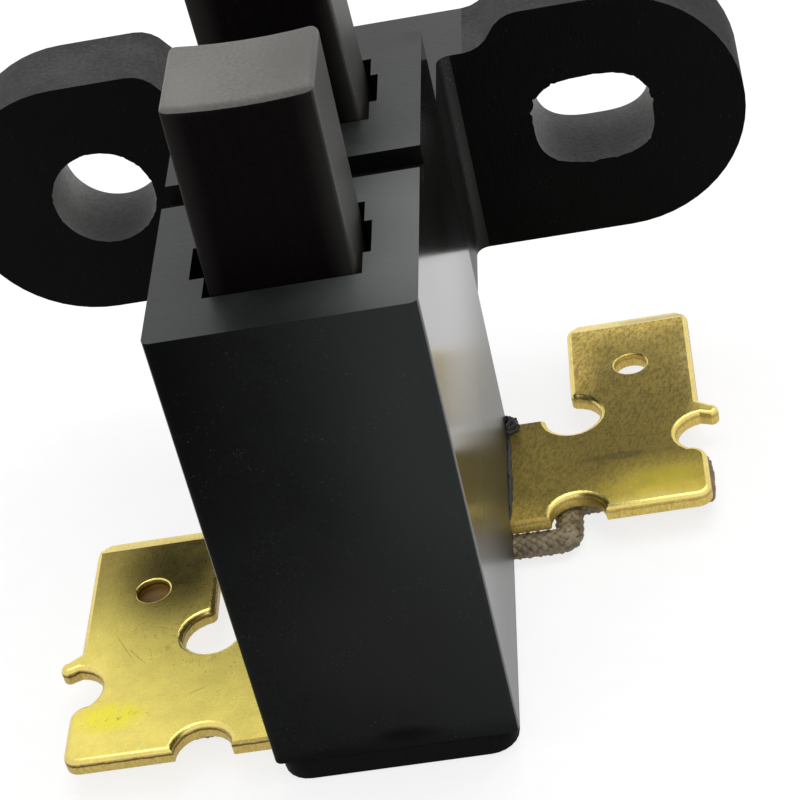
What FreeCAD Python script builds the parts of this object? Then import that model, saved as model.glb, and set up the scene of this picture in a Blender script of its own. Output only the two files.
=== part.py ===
import FreeCAD, Part
import Sketcher
import os
import math

# Twin slip-ring carbon brush holder, in millimetres.
# The origin lies on the rear face of the flange, midway between the two screw holes at the
# height of their axes. X points right, Y to the rear, Z up along the brushes.

os.makedirs("parts", exist_ok=True)
doc = FreeCAD.newDocument("brush_holder")
sheet = doc.addObject("Spreadsheet::Sheet", "Sizes")
sheet_row = 0


class Size:
    """A length with its value and the sheet expression that gives it."""

    def __init__(self, value, text):
        self.value = value
        self.text = text

    def __add__(self, other):
        other = as_size(other)
        return Size(self.value + other.value, "(%s + %s)" % (self.text, other.text))

    def __sub__(self, other):
        other = as_size(other)
        return Size(self.value - other.value, "(%s - %s)" % (self.text, other.text))

    def __mul__(self, other):
        other = as_size(other)
        return Size(self.value * other.value, "(%s * %s)" % (self.text, other.text))

    def __truediv__(self, other):
        other = as_size(other)
        return Size(self.value / other.value, "(%s / %s)" % (self.text, other.text))

    def __neg__(self):
        return Size(-self.value, "(-1 * %s)" % self.text)


def as_size(number):
    if isinstance(number, Size):
        return number
    return Size(float(number), repr(float(number)))


def size(alias, value):
    """Writes one driving dimension into the sheet and returns it."""
    global sheet_row
    sheet_row += 1
    sheet.set("A%d" % sheet_row, alias.replace("_", " "))
    sheet.set("B%d" % sheet_row, repr(float(value)))
    sheet.setAlias("B%d" % sheet_row, alias)
    return Size(float(value), "Sizes.%s" % alias)


zero = as_size(0)

# Moulded body
body_width = size("body_width", 11.0)
body_reach = size("body_reach", 31.0)
block_depth = size("block_depth", 21.5)
block_height = size("block_height", 23.2)
seam_drop = size("seam_drop", 14.3)
edge_round = size("edge_round", 0.35)
neck_inset = size("neck_inset", 0.15)
flange_thickness = size("flange_thickness", 4.5)
hole_spacing = size("hole_spacing", 24.4)
hole_radius = size("hole_radius", 2.55)
slot_radius = size("slot_radius", 2.35)
slot_length = size("slot_length", 1.1)
ear_radius = size("ear_radius", 6.35)
ear_centre = size("ear_centre", 13.2)
saddle_height = size("saddle_height", 4.65)
saddle_half = size("saddle_half", 6.6)
shoulder_half = size("shoulder_half", 9.5)
groove_width = size("groove_width", 1.75)
groove_depth = size("groove_depth", 0.9)
groove_offset = size("groove_offset", 9.8)

# Brushes and their channels
brush_width = size("brush_width", 6.0)
brush_depth = size("brush_depth", 5.0)
brush_length = size("brush_length", 18.0)
brush_stand = size("brush_stand", 8.6)
tip_radius = size("tip_radius", 24.0)
channel_clearance = size("channel_clearance", 0.12)
front_brush_offset = size("front_brush_offset", 5.2)
brush_pitch = size("brush_pitch", 11.8)
notch_width = size("notch_width", 2.3)
notch_depth = size("notch_depth", 0.45)
left_notch_depth = size("left_notch_depth", 0.75)

# Terminals
plate_thickness = size("plate_thickness", 0.8)
terminal_front = size("terminal_front", 1.02)
terminal_pitch = size("terminal_pitch", 12.45)
strip_length = size("strip_length", 7.5)
strip_reach = size("strip_reach", 7.4)
root_depth = size("root_depth", 1.8)
foot_inner = size("foot_inner", 10.1)
foot_overhang = size("foot_overhang", 0.1)
foot_length = size("foot_length", 3.8)
foot_round = size("foot_round", 0.7)
foot_corner = size("foot_corner", 0.85)
notch_round = size("notch_round", 1.35)
inner_notch_round = size("inner_notch_round", 1.3)
outer_notch_round = size("outer_notch_round", 1.45)
stop_overhang = size("stop_overhang", 0.97)
stop_level = size("stop_level", 6.5)
stop_round = size("stop_round", 0.27)
stop_base_level = size("stop_base_level", 7.35)
outer_notch_top = size("outer_notch_top", 6.35)
tab_centre = size("tab_centre", 11.95)
tab_width = size("tab_width", 6.3)
tab_end = size("tab_end", 15.05)
tab_corner = size("tab_corner", 0.55)
tab_bevel = size("tab_bevel", 0.3)
tab_bevel_run = size("tab_bevel_run", 0.7)
tab_hole_radius = size("tab_hole_radius", 0.95)
tab_hole_back = size("tab_hole_back", 3.85)
pocket_clearance = size("pocket_clearance", 0.05)

# Cover
cover_thickness = size("cover_thickness", 1.25)
cover_inset = size("cover_inset", 0.25)
cover_round = size("cover_round", 1.2)
slot_clearance = size("slot_clearance", 0.1)

# Springs, braids, plugs and beads
spring_radius = size("spring_radius", 1.95)
wire_radius = size("wire_radius", 0.25)
spring_turns = size("spring_turns", 8.0)
braid_radius = size("braid_radius", 0.6)
braid_bend = size("braid_bend", 0.8)
braid_side = size("braid_side", 4.25)
riser_height = size("riser_height", 1.2)
loop_reach = size("loop_reach", 7.3)
loop_level = size("loop_level", 0.43)
weld_level = size("weld_level", 2.43)
press_start = size("press_start", 11.2)
press_end = size("press_end", 12.5)
press_half_width = size("press_half_width", 1.35)
press_half_height = size("press_half_height", 0.36)
left_press_length = size("left_press_length", 2.55)
right_press_length = size("right_press_length", 2.95)
wire_sides = 8
steps_per_turn = 12
end_turn_gap = 2.2
plug_radius = size("plug_radius", 1.1)
plug_length = size("plug_length", 4.0)
bead_radius = size("bead_radius", 0.4)
blob_radius = size("blob_radius", 0.8)
blob_back = size("blob_back", 0.75)

doc.recompute()

# Levels and stations shared by several pieces
seam_level = -seam_drop
top_level = block_height - seam_drop
half_width = body_width / 2
front_wall = -body_reach
rear_wall = block_depth - body_reach
flange_front = -flange_thickness
cover_bottom = seam_level - cover_thickness
plate_top = seam_level + plate_thickness
half_channel = brush_width / 2 + channel_clearance
front_brush_y = front_wall + front_brush_offset
rear_brush_y = front_brush_y + brush_pitch
brush_bottom = top_level + brush_stand - brush_length
left_front = front_wall + terminal_front
right_front = left_front + terminal_pitch
braid_level = seam_level - braid_radius
riser_top = seam_level + riser_height


def bind(item, field, length):
    """Ties a property of a document object to the sheet."""
    item.setExpression(field, length.text)


def new_body(label):
    body = doc.addObject("PartDesign::Body", label)
    body.Label = label
    body.Placement = FreeCAD.Placement()
    return body


def origin_plane(body, role):
    return [plane for plane in body.Origin.OriginFeatures if plane.Role == role][0]


def new_sketch(body, name, role, offset=zero):
    """A sketch on one of the body's own planes, moved along that plane's normal."""
    sketch = doc.addObject("Sketcher::SketchObject", name)
    body.addObject(sketch)
    sketch.AttachmentSupport = [(origin_plane(body, role), "")]
    sketch.MapMode = "FlatFace"
    bind(sketch, "AttachmentOffset.Base.z", offset)
    return sketch


def fix_distance(sketch, kind, index, position, length):
    """Sets the X or Y distance of one point from the sketch's origin."""
    row = sketch.addConstraint(Sketcher.Constraint(kind, -1, 1, index, position, length.value))
    sketch.setExpression("Constraints[%d]" % row, length.text)


def add_outline(sketch, corners):
    """A closed outline through the corners. A corner is (x, y) where a straight edge starts, or
    (x, y, radius, turn) where an arc to the next corner starts; turn 1 runs anticlockwise."""
    first = sketch.GeometryCount
    total = len(corners)
    for number, corner in enumerate(corners):
        following = corners[(number + 1) % total]
        start = FreeCAD.Vector(corner[0].value, corner[1].value, 0)
        end = FreeCAD.Vector(following[0].value, following[1].value, 0)
        if len(corner) == 2:
            sketch.addGeometry(Part.LineSegment(start, end), False)
            continue
        radius = corner[2].value
        chord = end - start
        rise = math.sqrt(max(radius ** 2 - (chord.Length / 2) ** 2, 0.0))
        side = FreeCAD.Vector(-chord.y, chord.x, 0)
        side.normalize()
        centre = (start + end) * 0.5 + side * rise * corner[3]
        begin, stop = (start, end) if corner[3] > 0 else (end, start)
        angle_a = math.atan2(begin.y - centre.y, begin.x - centre.x)
        angle_b = math.atan2(stop.y - centre.y, stop.x - centre.x)
        circle = Part.Circle(centre, FreeCAD.Vector(0, 0, 1), radius)
        sketch.addGeometry(Part.ArcOfCircle(circle, angle_a, angle_b), False)
    for number, corner in enumerate(corners):
        index = first + number
        reverse = len(corner) > 2 and corner[3] < 0
        follow = corners[(number + 1) % total]
        next_index = first + (number + 1) % total
        next_reverse = len(follow) > 2 and follow[3] < 0
        end_point = 1 if reverse else 2
        start_point = 2 if next_reverse else 1
        sketch.addConstraint(Sketcher.Constraint("Coincident", index, end_point, next_index, start_point))
    for number, corner in enumerate(corners):
        index = first + number
        reverse = len(corner) > 2 and corner[3] < 0
        start_point = 2 if reverse else 1
        fix_distance(sketch, "DistanceX", index, start_point, corner[0])
        fix_distance(sketch, "DistanceY", index, start_point, corner[1])
        if len(corner) > 2:
            shape_arc(sketch, index, corner, corners[(number + 1) % total])


def shape_arc(sketch, index, start, end):
    """Fixes an arc whose ends are placed: by its centre if it is a half circle, else by its radius."""
    across = abs(end[0].value - start[0].value)
    along = abs(end[1].value - start[1].value)
    full = start[2].value * 1.99
    if along > full:
        fix_distance(sketch, "DistanceX", index, 3, start[0])
        return
    if across > full:
        fix_distance(sketch, "DistanceY", index, 3, start[1])
        return
    row = sketch.addConstraint(Sketcher.Constraint("Radius", index, start[2].value))
    sketch.setExpression("Constraints[%d]" % row, start[2].text)


def add_circle(sketch, x, y, radius):
    index = sketch.GeometryCount
    centre = FreeCAD.Vector(x.value, y.value, 0)
    sketch.addGeometry(Part.Circle(centre, FreeCAD.Vector(0, 0, 1), radius.value), False)
    fix_distance(sketch, "DistanceX", index, 3, x)
    fix_distance(sketch, "DistanceY", index, 3, y)
    row = sketch.addConstraint(Sketcher.Constraint("Radius", index, radius.value))
    sketch.setExpression("Constraints[%d]" % row, radius.text)


def rectangle(left, right, low, high):
    return [(left, low), (right, low), (right, high), (left, high)]


def add_feature(body, kind, name, sketch, length, reverse=False):
    feature = doc.addObject("PartDesign::" + kind, name)
    body.addObject(feature)
    feature.Profile = sketch
    bind(feature, "Length", length)
    feature.Reversed = reverse
    body.Tip = feature
    doc.recompute()
    return feature


def upright_edges(feature, test):
    """Names of the straight edges along Z whose middle point passes the test."""
    names = []
    for number, edge in enumerate(feature.Shape.Edges, 1):
        ends = [vertex.Point for vertex in edge.Vertexes]
        if len(ends) != 2:
            continue
        run = ends[1] - ends[0]
        if abs(run.x) + abs(run.y) > 1e-6 or run.Length < 1e-6:
            continue
        if test((ends[0] + ends[1]) * 0.5):
            names.append("Edge%d" % number)
    return names


def round_edges(body, name, feature, names, radius):
    fillet = doc.addObject("PartDesign::Fillet", name)
    body.addObject(fillet)
    fillet.Base = (feature, names)
    bind(fillet, "Radius", radius)
    body.Tip = fillet
    doc.recompute()
    return fillet


# Moulded holder body
holder = new_body("holder_body")

block_sketch = new_sketch(holder, "block_plan", "XY_Plane", seam_level)
add_outline(block_sketch, rectangle(-half_width, half_width, front_wall, rear_wall))
block = add_feature(holder, "Pad", "block", block_sketch, block_height)
block_corners = upright_edges(block, lambda middle: True)
rounded_block = round_edges(holder, "block_corners", block, block_corners, edge_round)

flange_outline = new_sketch(holder, "flange_outline", "XZ_Plane")
shoulder_middle = (saddle_half + shoulder_half) / 2
shoulder_level = (saddle_height + ear_radius) / 2
shoulder_run = (shoulder_half - saddle_half) / 2
shoulder_rise = (ear_radius - saddle_height) / 2
shoulder_round = (shoulder_run * shoulder_run + shoulder_rise * shoulder_rise) / (shoulder_rise * 2)
add_outline(flange_outline, [
    (-ear_centre, -ear_radius),
    (ear_centre, -ear_radius, ear_radius, 1),
    (ear_centre, ear_radius),
    (shoulder_half, ear_radius, shoulder_round, 1),
    (shoulder_middle, shoulder_level, shoulder_round, -1),
    (saddle_half, saddle_height),
    (-saddle_half, saddle_height, shoulder_round, -1),
    (-shoulder_middle, shoulder_level, shoulder_round, 1),
    (-shoulder_half, ear_radius),
    (-ear_centre, ear_radius, ear_radius, 1),
])
flange = add_feature(holder, "Pad", "flange", flange_outline, flange_thickness)

neck_sketch = new_sketch(holder, "neck_section", "XZ_Plane", flange_thickness)
neck_half = half_width - neck_inset
add_outline(neck_sketch, rectangle(-neck_half, neck_half, -ear_radius, saddle_height))
neck = add_feature(holder, "Pad", "neck", neck_sketch, -rear_wall - flange_thickness + edge_round)

screw_sketch = new_sketch(holder, "screw_hole", "XZ_Plane", flange_thickness)
add_circle(screw_sketch, -hole_spacing / 2, zero, hole_radius)
screw_hole = add_feature(holder, "Pocket", "round_hole", screw_sketch, flange_thickness)

slot_sketch = new_sketch(holder, "slot_section", "XZ_Plane", flange_thickness)
slot_left = hole_spacing / 2 - slot_length / 2
slot_right = hole_spacing / 2 + slot_length / 2
add_outline(slot_sketch, [
    (slot_left, -slot_radius),
    (slot_right, -slot_radius, slot_radius, 1),
    (slot_right, slot_radius),
    (slot_left, slot_radius, slot_radius, 1),
])
slot = add_feature(holder, "Pocket", "slotted_hole", slot_sketch, flange_thickness)

channel_depth = brush_depth / 2 + channel_clearance


def cut_channel(name, centre_y):
    """One brush channel through the block, with a shallow groove in each side wall."""
    plan = new_sketch(holder, name + "_plan", "XY_Plane", top_level)
    low = centre_y - channel_depth
    high = centre_y + channel_depth
    groove_low = centre_y - notch_width / 2
    groove_high = centre_y + notch_width / 2
    wide = half_channel + notch_depth
    left = -half_channel - left_notch_depth
    add_outline(plan, [
        (-half_channel, low), (half_channel, low), (half_channel, groove_low), (wide, groove_low),
        (wide, groove_high), (half_channel, groove_high), (half_channel, high), (-half_channel, high),
        (-half_channel, groove_high), (left, groove_high), (left, groove_low), (-half_channel, groove_low),
    ])
    return add_feature(holder, "Pocket", name, plan, block_height)


front_channel = cut_channel("front_channel", front_brush_y)
rear_channel = cut_channel("rear_channel", rear_brush_y)

groove_sketch = new_sketch(holder, "groove_plan", "XY_Plane", top_level)
groove_low = front_wall + groove_offset
add_outline(groove_sketch, rectangle(-body_width, body_width, groove_low, groove_low + groove_width))
groove = add_feature(holder, "Pocket", "cross_groove", groove_sketch, groove_depth)

root_inner = half_width - root_depth


def cut_root_pocket(name, side, front):
    """The recess in the wall's lower edge that takes the root of a terminal."""
    plan = new_sketch(holder, name + "_plan", "XY_Plane", seam_level)
    low = front - pocket_clearance
    high = front + strip_length + pocket_clearance
    inner = root_inner - pocket_clearance
    if side > 0:
        add_outline(plan, rectangle(inner, body_width, low, high))
    else:
        add_outline(plan, rectangle(-body_width, -inner, low, high))
    return add_feature(holder, "Pocket", name, plan, plate_thickness, True)


left_pocket = cut_root_pocket("left_root_pocket", -1, left_front)
right_pocket = cut_root_pocket("right_root_pocket", 1, right_front)

# Bottom cover with the two braid slots
cover = new_body("bottom_cover")
cover_sketch = new_sketch(cover, "cover_plan", "XY_Plane", cover_bottom)
cover_half = half_width - cover_inset
cover_front = front_wall + cover_inset
cover_rear = rear_wall - cover_inset
add_outline(cover_sketch, rectangle(-cover_half, cover_half, cover_front, cover_rear))
cover_plate = add_feature(cover, "Pad", "cover_plate", cover_sketch, cover_thickness)
cover_corners = upright_edges(cover_plate, lambda middle: True)
rounded_cover = round_edges(cover, "cover_corners", cover_plate, cover_corners, cover_round)
slot_half = braid_radius + slot_clearance


def cut_braid_slot(name, side, centre_y, loop_y):
    """An L-shaped slot: across to the cover's side, then along that side to where the braid leaves."""
    plan = new_sketch(cover, name + "_plan", "XY_Plane", seam_level)
    inner = braid_side - slot_half
    end = as_size(-1) * slot_half
    low = loop_y - slot_half
    corners = [
        (end, centre_y - slot_half), (inner, centre_y - slot_half), (inner, low), (half_width, low),
        (half_width, centre_y + slot_half), (end, centre_y + slot_half),
    ]
    if side < 0:
        corners = [(-corner[0], corner[1]) for corner in reversed(corners)]
    add_outline(plan, corners)
    return add_feature(cover, "Pocket", name, plan, cover_thickness)


left_slot = cut_braid_slot("left_braid_slot", -1, front_brush_y, left_front + weld_level)
right_slot = cut_braid_slot("right_braid_slot", 1, rear_brush_y, right_front + loop_level)


def make_brush(label, centre_y):
    """A carbon block with a hollow-worn tip and a bore for the tamped plug at its lower end."""
    body = new_body(label)
    side = new_sketch(body, label + "_face", "XZ_Plane", -centre_y - brush_depth / 2)
    half = brush_width / 2
    tip = brush_bottom + brush_length
    add_outline(side, [
        (-half, brush_bottom), (half, brush_bottom), (half, tip, tip_radius, -1), (-half, tip),
    ])
    block = add_feature(body, "Pad", label + "_block", side, brush_depth)
    bore = new_sketch(body, label + "_bore", "XY_Plane", brush_bottom)
    add_circle(bore, zero, centre_y, plug_radius)
    add_feature(body, "Pocket", label + "_plug_bore", bore, plug_length, True)
    return body


front_brush = make_brush("front_brush", front_brush_y)
rear_brush = make_brush("rear_brush", rear_brush_y)


def make_plug(label, centre_y):
    """The tamped powder plug that fills the bore in the brush."""
    plug = doc.addObject("Part::Cylinder", label)
    plug.Label = label
    bind(plug, "Radius", plug_radius)
    bind(plug, "Height", plug_length)
    bind(plug, "Placement.Base.y", centre_y)
    bind(plug, "Placement.Base.z", brush_bottom)
    return plug


front_plug = make_plug("front_brush_plug", front_brush_y)
rear_plug = make_plug("rear_brush_plug", rear_brush_y)


def coil_level(turn, low, high):
    """Height of the wire's centre after so many turns: one closed turn at each end."""
    closed = wire_radius.value * end_turn_gap
    last = spring_turns.value - 1
    if turn <= 1:
        return low + closed * turn
    if turn >= last:
        return high - closed * (spring_turns.value - turn)
    return low + closed + (high - low - closed * 2) * (turn - 1) / (last - 1)


def make_spring(label, centre_y):
    """A wire compression spring with closed ends, lofted through sections along its coils."""
    low = seam_level.value + wire_radius.value
    high = brush_bottom.value - wire_radius.value
    up = FreeCAD.Vector(0, 0, 1)
    rings = []
    for step in range(int(spring_turns.value * steps_per_turn) + 1):
        turn = step / steps_per_turn
        angle = 2 * math.pi * turn
        outward = FreeCAD.Vector(math.cos(angle), math.sin(angle), 0)
        middle = outward * spring_radius.value + up * coil_level(turn, low, high)
        corners = []
        for side in range(wire_sides + 1):
            swing = 2 * math.pi * side / wire_sides
            offset = outward * math.cos(swing) + up * math.sin(swing)
            corners.append(middle + offset * wire_radius.value)
        corners[-1] = corners[0]
        rings.append(Part.makePolygon(corners))
    spring = doc.addObject("Part::Feature", label)
    spring.Shape = Part.makeLoft(rings, True, True)
    spring.Label = label
    bind(spring, "Placement.Base.y", centre_y)
    return spring


front_spring = make_spring("front_spring", front_brush_y)
rear_spring = make_spring("rear_spring", rear_brush_y)


def make_terminal(label, side, front):
    """A stamped terminal: root and strip at the wall, foot for the braid, hooked stop and tab."""
    body = new_body(label)
    tab_inner = tab_centre - tab_width / 2
    tab_outer = tab_centre + tab_width / 2
    foot_outer = tab_outer + foot_overhang
    tip = front + tab_end
    notch_end = front + strip_length + inner_notch_round
    bite = inner_notch_round * math.sqrt(0.5)
    stop_x = tab_outer + stop_overhang - stop_round
    corners = [
        (root_inner, front),
        (strip_reach, front, notch_round, -1),
        (foot_inner, front),
        (foot_outer - foot_round, front, foot_round, 1),
        (foot_outer, front + foot_round),
        (foot_outer, front + foot_length - foot_corner, foot_corner, 1),
        (foot_outer - foot_corner, front + foot_length, outer_notch_round, -1),
        (tab_outer, front + outer_notch_top),
        (stop_x, front + stop_level - stop_round, stop_round, 1),
        (stop_x, front + stop_level + stop_round),
        (tab_outer, front + stop_base_level),
        (tab_outer, tip - tab_corner),
        (tab_outer - tab_corner, tip),
        (tab_inner + tab_corner, tip),
        (tab_inner, tip - tab_corner),
        (tab_inner, notch_end, inner_notch_round, -1),
        (tab_inner + bite, front + strip_length - bite, inner_notch_round, -1),
        (tab_inner - inner_notch_round, front + strip_length),
        (root_inner, front + strip_length),
    ]
    if side < 0:
        mirrored = []
        total = len(corners)
        for number in range(total):
            corner = corners[(total - number) % total]
            before = corners[(total - number - 1) % total]
            point = (-corner[0], corner[1])
            if len(before) > 2:
                point = point + (before[2], before[3])
            mirrored.append(point)
        corners = mirrored
    plan = new_sketch(body, label + "_plan", "XY_Plane", seam_level)
    add_outline(plan, corners)
    plate = add_feature(body, "Pad", label + "_plate", plan, plate_thickness)
    hole = new_sketch(body, label + "_hole", "XY_Plane", plate_top)
    hole_x = tab_centre if side > 0 else -tab_centre
    add_circle(hole, hole_x, tip - tab_hole_back, tab_hole_radius)
    add_feature(body, "Pocket", label + "_tab_hole", hole, plate_thickness)
    bevel = new_sketch(body, label + "_bevel", "YZ_Plane", tab_inner if side > 0 else -tab_outer)
    over = tip + tab_bevel
    add_outline(bevel, [
        (tip - tab_bevel_run, plate_top), (tip, plate_top - tab_bevel), (over, plate_top - tab_bevel),
        (over, plate_top + tab_bevel), (tip - tab_bevel_run, plate_top + tab_bevel),
    ])
    add_feature(body, "Pocket", label + "_upper_bevel", bevel, tab_width, True)
    lower = new_sketch(body, label + "_lower_bevel_line", "YZ_Plane", tab_inner if side > 0 else -tab_outer)
    add_outline(lower, [
        (tip - tab_bevel_run, seam_level), (tip - tab_bevel_run, seam_level - tab_bevel),
        (over, seam_level - tab_bevel), (over, seam_level + tab_bevel), (tip, seam_level + tab_bevel),
    ])
    add_feature(body, "Pocket", label + "_lower_bevel", lower, tab_width, True)
    return body


left_terminal = make_terminal("left_terminal", -1, left_front)
right_terminal = make_terminal("right_terminal", 1, right_front)


def make_outer_braid(label, side, centre_y, front, looped, press_length):
    """The fixed stretch of a braid: up into the channel, out through the cover's slot, under the
    strip, with a small loop if it has one, and flat under the foot, where it is welded."""
    body = new_body(label)
    sign = as_size(side)
    weld_y = front + weld_level
    loop_y = front + loop_level if looped else weld_y
    path = new_sketch(body, label + "_route", "XY_Plane", braid_level)
    stations = [
        (zero, centre_y),
        (braid_side - braid_bend, centre_y, braid_bend, -1),
        (braid_side, centre_y - braid_bend),
        (braid_side, loop_y + braid_bend, braid_bend, 1),
        (braid_side + braid_bend, loop_y),
    ]
    if looped:
        turn = (weld_level - loop_level) / 2
        stations.append((loop_reach, loop_y, turn, 1))
        stations.append((loop_reach + turn, loop_y + turn, turn, -1))
        stations.append((loop_reach + turn * 2, weld_y))
    stations.append((press_start, weld_y))
    add_route(path, stations, sign)
    ring = new_sketch(body, label + "_section", "YZ_Plane")
    add_circle(ring, centre_y, braid_level, braid_radius)
    pipe = doc.addObject("PartDesign::AdditivePipe", label + "_run")
    body.addObject(pipe)
    pipe.Profile = ring
    pipe.Spine = (path, [])
    body.Tip = pipe
    doc.recompute()
    elbow = doc.addObject("PartDesign::AdditiveSphere", label + "_elbow")
    body.addObject(elbow)
    bind(elbow, "Radius", braid_radius)
    bind(elbow, "AttachmentOffset.Base.y", centre_y)
    bind(elbow, "AttachmentOffset.Base.z", braid_level)
    elbow.AttachmentSupport = [(origin_plane(body, "XY_Plane"), "")]
    elbow.MapMode = "FlatFace"
    body.Tip = elbow
    riser = new_sketch(body, label + "_riser_section", "XY_Plane", braid_level)
    add_circle(riser, zero, centre_y, braid_radius)
    add_feature(body, "Pad", label + "_riser", riser, riser_top - braid_level)
    start = new_sketch(body, label + "_press_start", "YZ_Plane", sign * press_start)
    add_circle(start, weld_y, braid_level, braid_radius)
    flat_level = seam_level - press_half_height
    stop = new_sketch(body, label + "_press_end", "YZ_Plane", sign * press_end)
    add_flat(stop, weld_y, flat_level)
    press = doc.addObject("PartDesign::AdditiveLoft", label + "_pressed")
    body.addObject(press)
    press.Profile = start
    press.Sections = [stop]
    body.Tip = press
    doc.recompute()
    last = new_sketch(body, label + "_end_section", "YZ_Plane", sign * press_end)
    add_flat(last, weld_y, flat_level)
    add_feature(body, "Pad", label + "_end", last, press_length, side < 0)
    return body


def add_flat(sketch, centre_y, level):
    """The pressed section of the braid: flat above and below, round at both edges."""
    low = centre_y - press_half_width + press_half_height
    high = centre_y + press_half_width - press_half_height
    add_outline(sketch, [
        (low, level - press_half_height),
        (high, level - press_half_height, press_half_height, 1),
        (high, level + press_half_height),
        (low, level + press_half_height, press_half_height, 1),
    ])


def add_route(sketch, stations, sign):
    """An open line of straight runs and arcs through the stations."""
    points = [FreeCAD.Vector(sign.value * row[0].value, row[1].value, 0) for row in stations]
    ends = []
    for number in range(len(stations) - 1):
        row = stations[number]
        start = points[number]
        end = points[number + 1]
        if len(row) == 2:
            sketch.addGeometry(Part.LineSegment(start, end), False)
            ends.append((1, 2))
            continue
        turn = row[3] * sign.value
        radius = row[2].value
        chord = end - start
        rise = math.sqrt(max(radius ** 2 - (chord.Length / 2) ** 2, 0.0))
        across = FreeCAD.Vector(-chord.y, chord.x, 0)
        across.normalize()
        centre = (start + end) * 0.5 + across * rise * turn
        begin, stop = (start, end) if turn > 0 else (end, start)
        angle_a = math.atan2(begin.y - centre.y, begin.x - centre.x)
        angle_b = math.atan2(stop.y - centre.y, stop.x - centre.x)
        circle = Part.Circle(centre, FreeCAD.Vector(0, 0, 1), radius)
        sketch.addGeometry(Part.ArcOfCircle(circle, angle_a, angle_b), False)
        ends.append((1, 2) if turn > 0 else (2, 1))
    for number in range(len(ends) - 1):
        joint = Sketcher.Constraint("Coincident", number, ends[number][1], number + 1, ends[number + 1][0])
        sketch.addConstraint(joint)
    for number, row in enumerate(stations[:-1]):
        fix_distance(sketch, "DistanceX", number, ends[number][0], sign * row[0])
        fix_distance(sketch, "DistanceY", number, ends[number][0], row[1])
        if len(row) > 2:
            line = sketch.addConstraint(Sketcher.Constraint("Radius", number, row[2].value))
            sketch.setExpression("Constraints[%d]" % line, row[2].text)
    last = len(ends) - 1
    fix_distance(sketch, "DistanceX", last, ends[last][1], sign * stations[-1][0])
    fix_distance(sketch, "DistanceY", last, ends[last][1], stations[-1][1])


left_braid = make_outer_braid("front_braid_outer", -1, front_brush_y, left_front, False, left_press_length)
right_braid = make_outer_braid("rear_braid_outer", 1, rear_brush_y, right_front, True, right_press_length)


def make_inner_braid(label, centre_y):
    """The stretch inside the spring, which shortens when the brush is pushed in."""
    braid = doc.addObject("Part::Cylinder", label)
    braid.Label = label
    bind(braid, "Radius", braid_radius)
    bind(braid, "Height", brush_bottom - riser_top)
    bind(braid, "Placement.Base.y", centre_y)
    bind(braid, "Placement.Base.z", riser_top)
    return braid


front_inner = make_inner_braid("front_braid_inner", front_brush_y)
rear_inner = make_inner_braid("rear_braid_inner", rear_brush_y)


def make_bead(label, side, front):
    """The resin bead in the corner above the strip, with a blob at its rear end."""
    rod = doc.addObject("Part::Cylinder", label + "_rod")
    rod.Angle = 90
    bind(rod, "Radius", bead_radius)
    bind(rod, "Height", strip_length - edge_round)
    blob = doc.addObject("Part::Sphere", label + "_blob")
    blob.Angle1 = 0
    blob.Angle2 = 90
    blob.Angle3 = 180
    bind(blob, "Radius", blob_radius)
    wall = half_width if side > 0 else -half_width
    turn = -90 if side > 0 else 90
    along_y = FreeCAD.Rotation(FreeCAD.Vector(1, 0, 0), 90)
    quarter = 0 if side > 0 else 90
    rod.Placement.Rotation = along_y * FreeCAD.Rotation(FreeCAD.Vector(0, 0, 1), quarter)
    blob.Placement.Rotation = FreeCAD.Rotation(FreeCAD.Vector(0, 0, 1), turn)
    bind(rod, "Placement.Base.x", wall)
    bind(rod, "Placement.Base.y", front + strip_length - edge_round)
    bind(rod, "Placement.Base.z", plate_top)
    bind(blob, "Placement.Base.x", wall)
    bind(blob, "Placement.Base.y", front + strip_length - blob_back - blob_radius / 2)
    bind(blob, "Placement.Base.z", plate_top)
    bead = doc.addObject("Part::MultiFuse", label)
    bead.Shapes = [rod, blob]
    bead.Label = label
    return bead


left_bead = make_bead("left_resin_bead", -1, left_front)
right_bead = make_bead("right_resin_bead", 1, right_front)

doc.recompute()

pieces = [
    holder, cover, front_brush, rear_brush, front_plug, rear_plug, front_spring, rear_spring,
    left_terminal, right_terminal, left_braid, right_braid, front_inner, rear_inner,
    left_bead, right_bead,
]

faulty = [item.Name for item in doc.Objects if "Invalid" in item.State or "Error" in item.State]
if faulty:
    raise RuntimeError("not computed: " + ", ".join(faulty))

for piece in pieces:
    shape = piece.Shape
    if shape.isNull() or not shape.isValid() or len(shape.Solids) != 1:
        raise RuntimeError("%s has no single valid solid (%d)" % (piece.Label, len(shape.Solids)))
    if shape.Volume <= 0:
        raise RuntimeError("%s has no volume" % piece.Label)
    shape.exportStep("parts/%s.step" % piece.Label)
    box = shape.BoundBox
    print("%s: volume %.2f, x %.2f..%.2f, y %.2f..%.2f, z %.2f..%.2f" % (
        piece.Label, shape.Volume, box.XMin, box.XMax, box.YMin, box.YMax, box.ZMin, box.ZMax))
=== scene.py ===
# %% [markdown]
# # A twin slip-ring carbon brush holder
# Two sprung carbon blocks stand in a black moulded body and rub on a generator's slip rings.
# Copper braids carry the current to two stamped brass tabs, and a flange takes the screws.
# Each cell below makes one piece or one finish. Sizes are in millimetres in the row frame:
# the origin is on the flange's rear face, X points right, Y to the rear and Z up.

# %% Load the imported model
import math

import bmesh
import bpy
from mathutils import Matrix, Vector, noise


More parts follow.
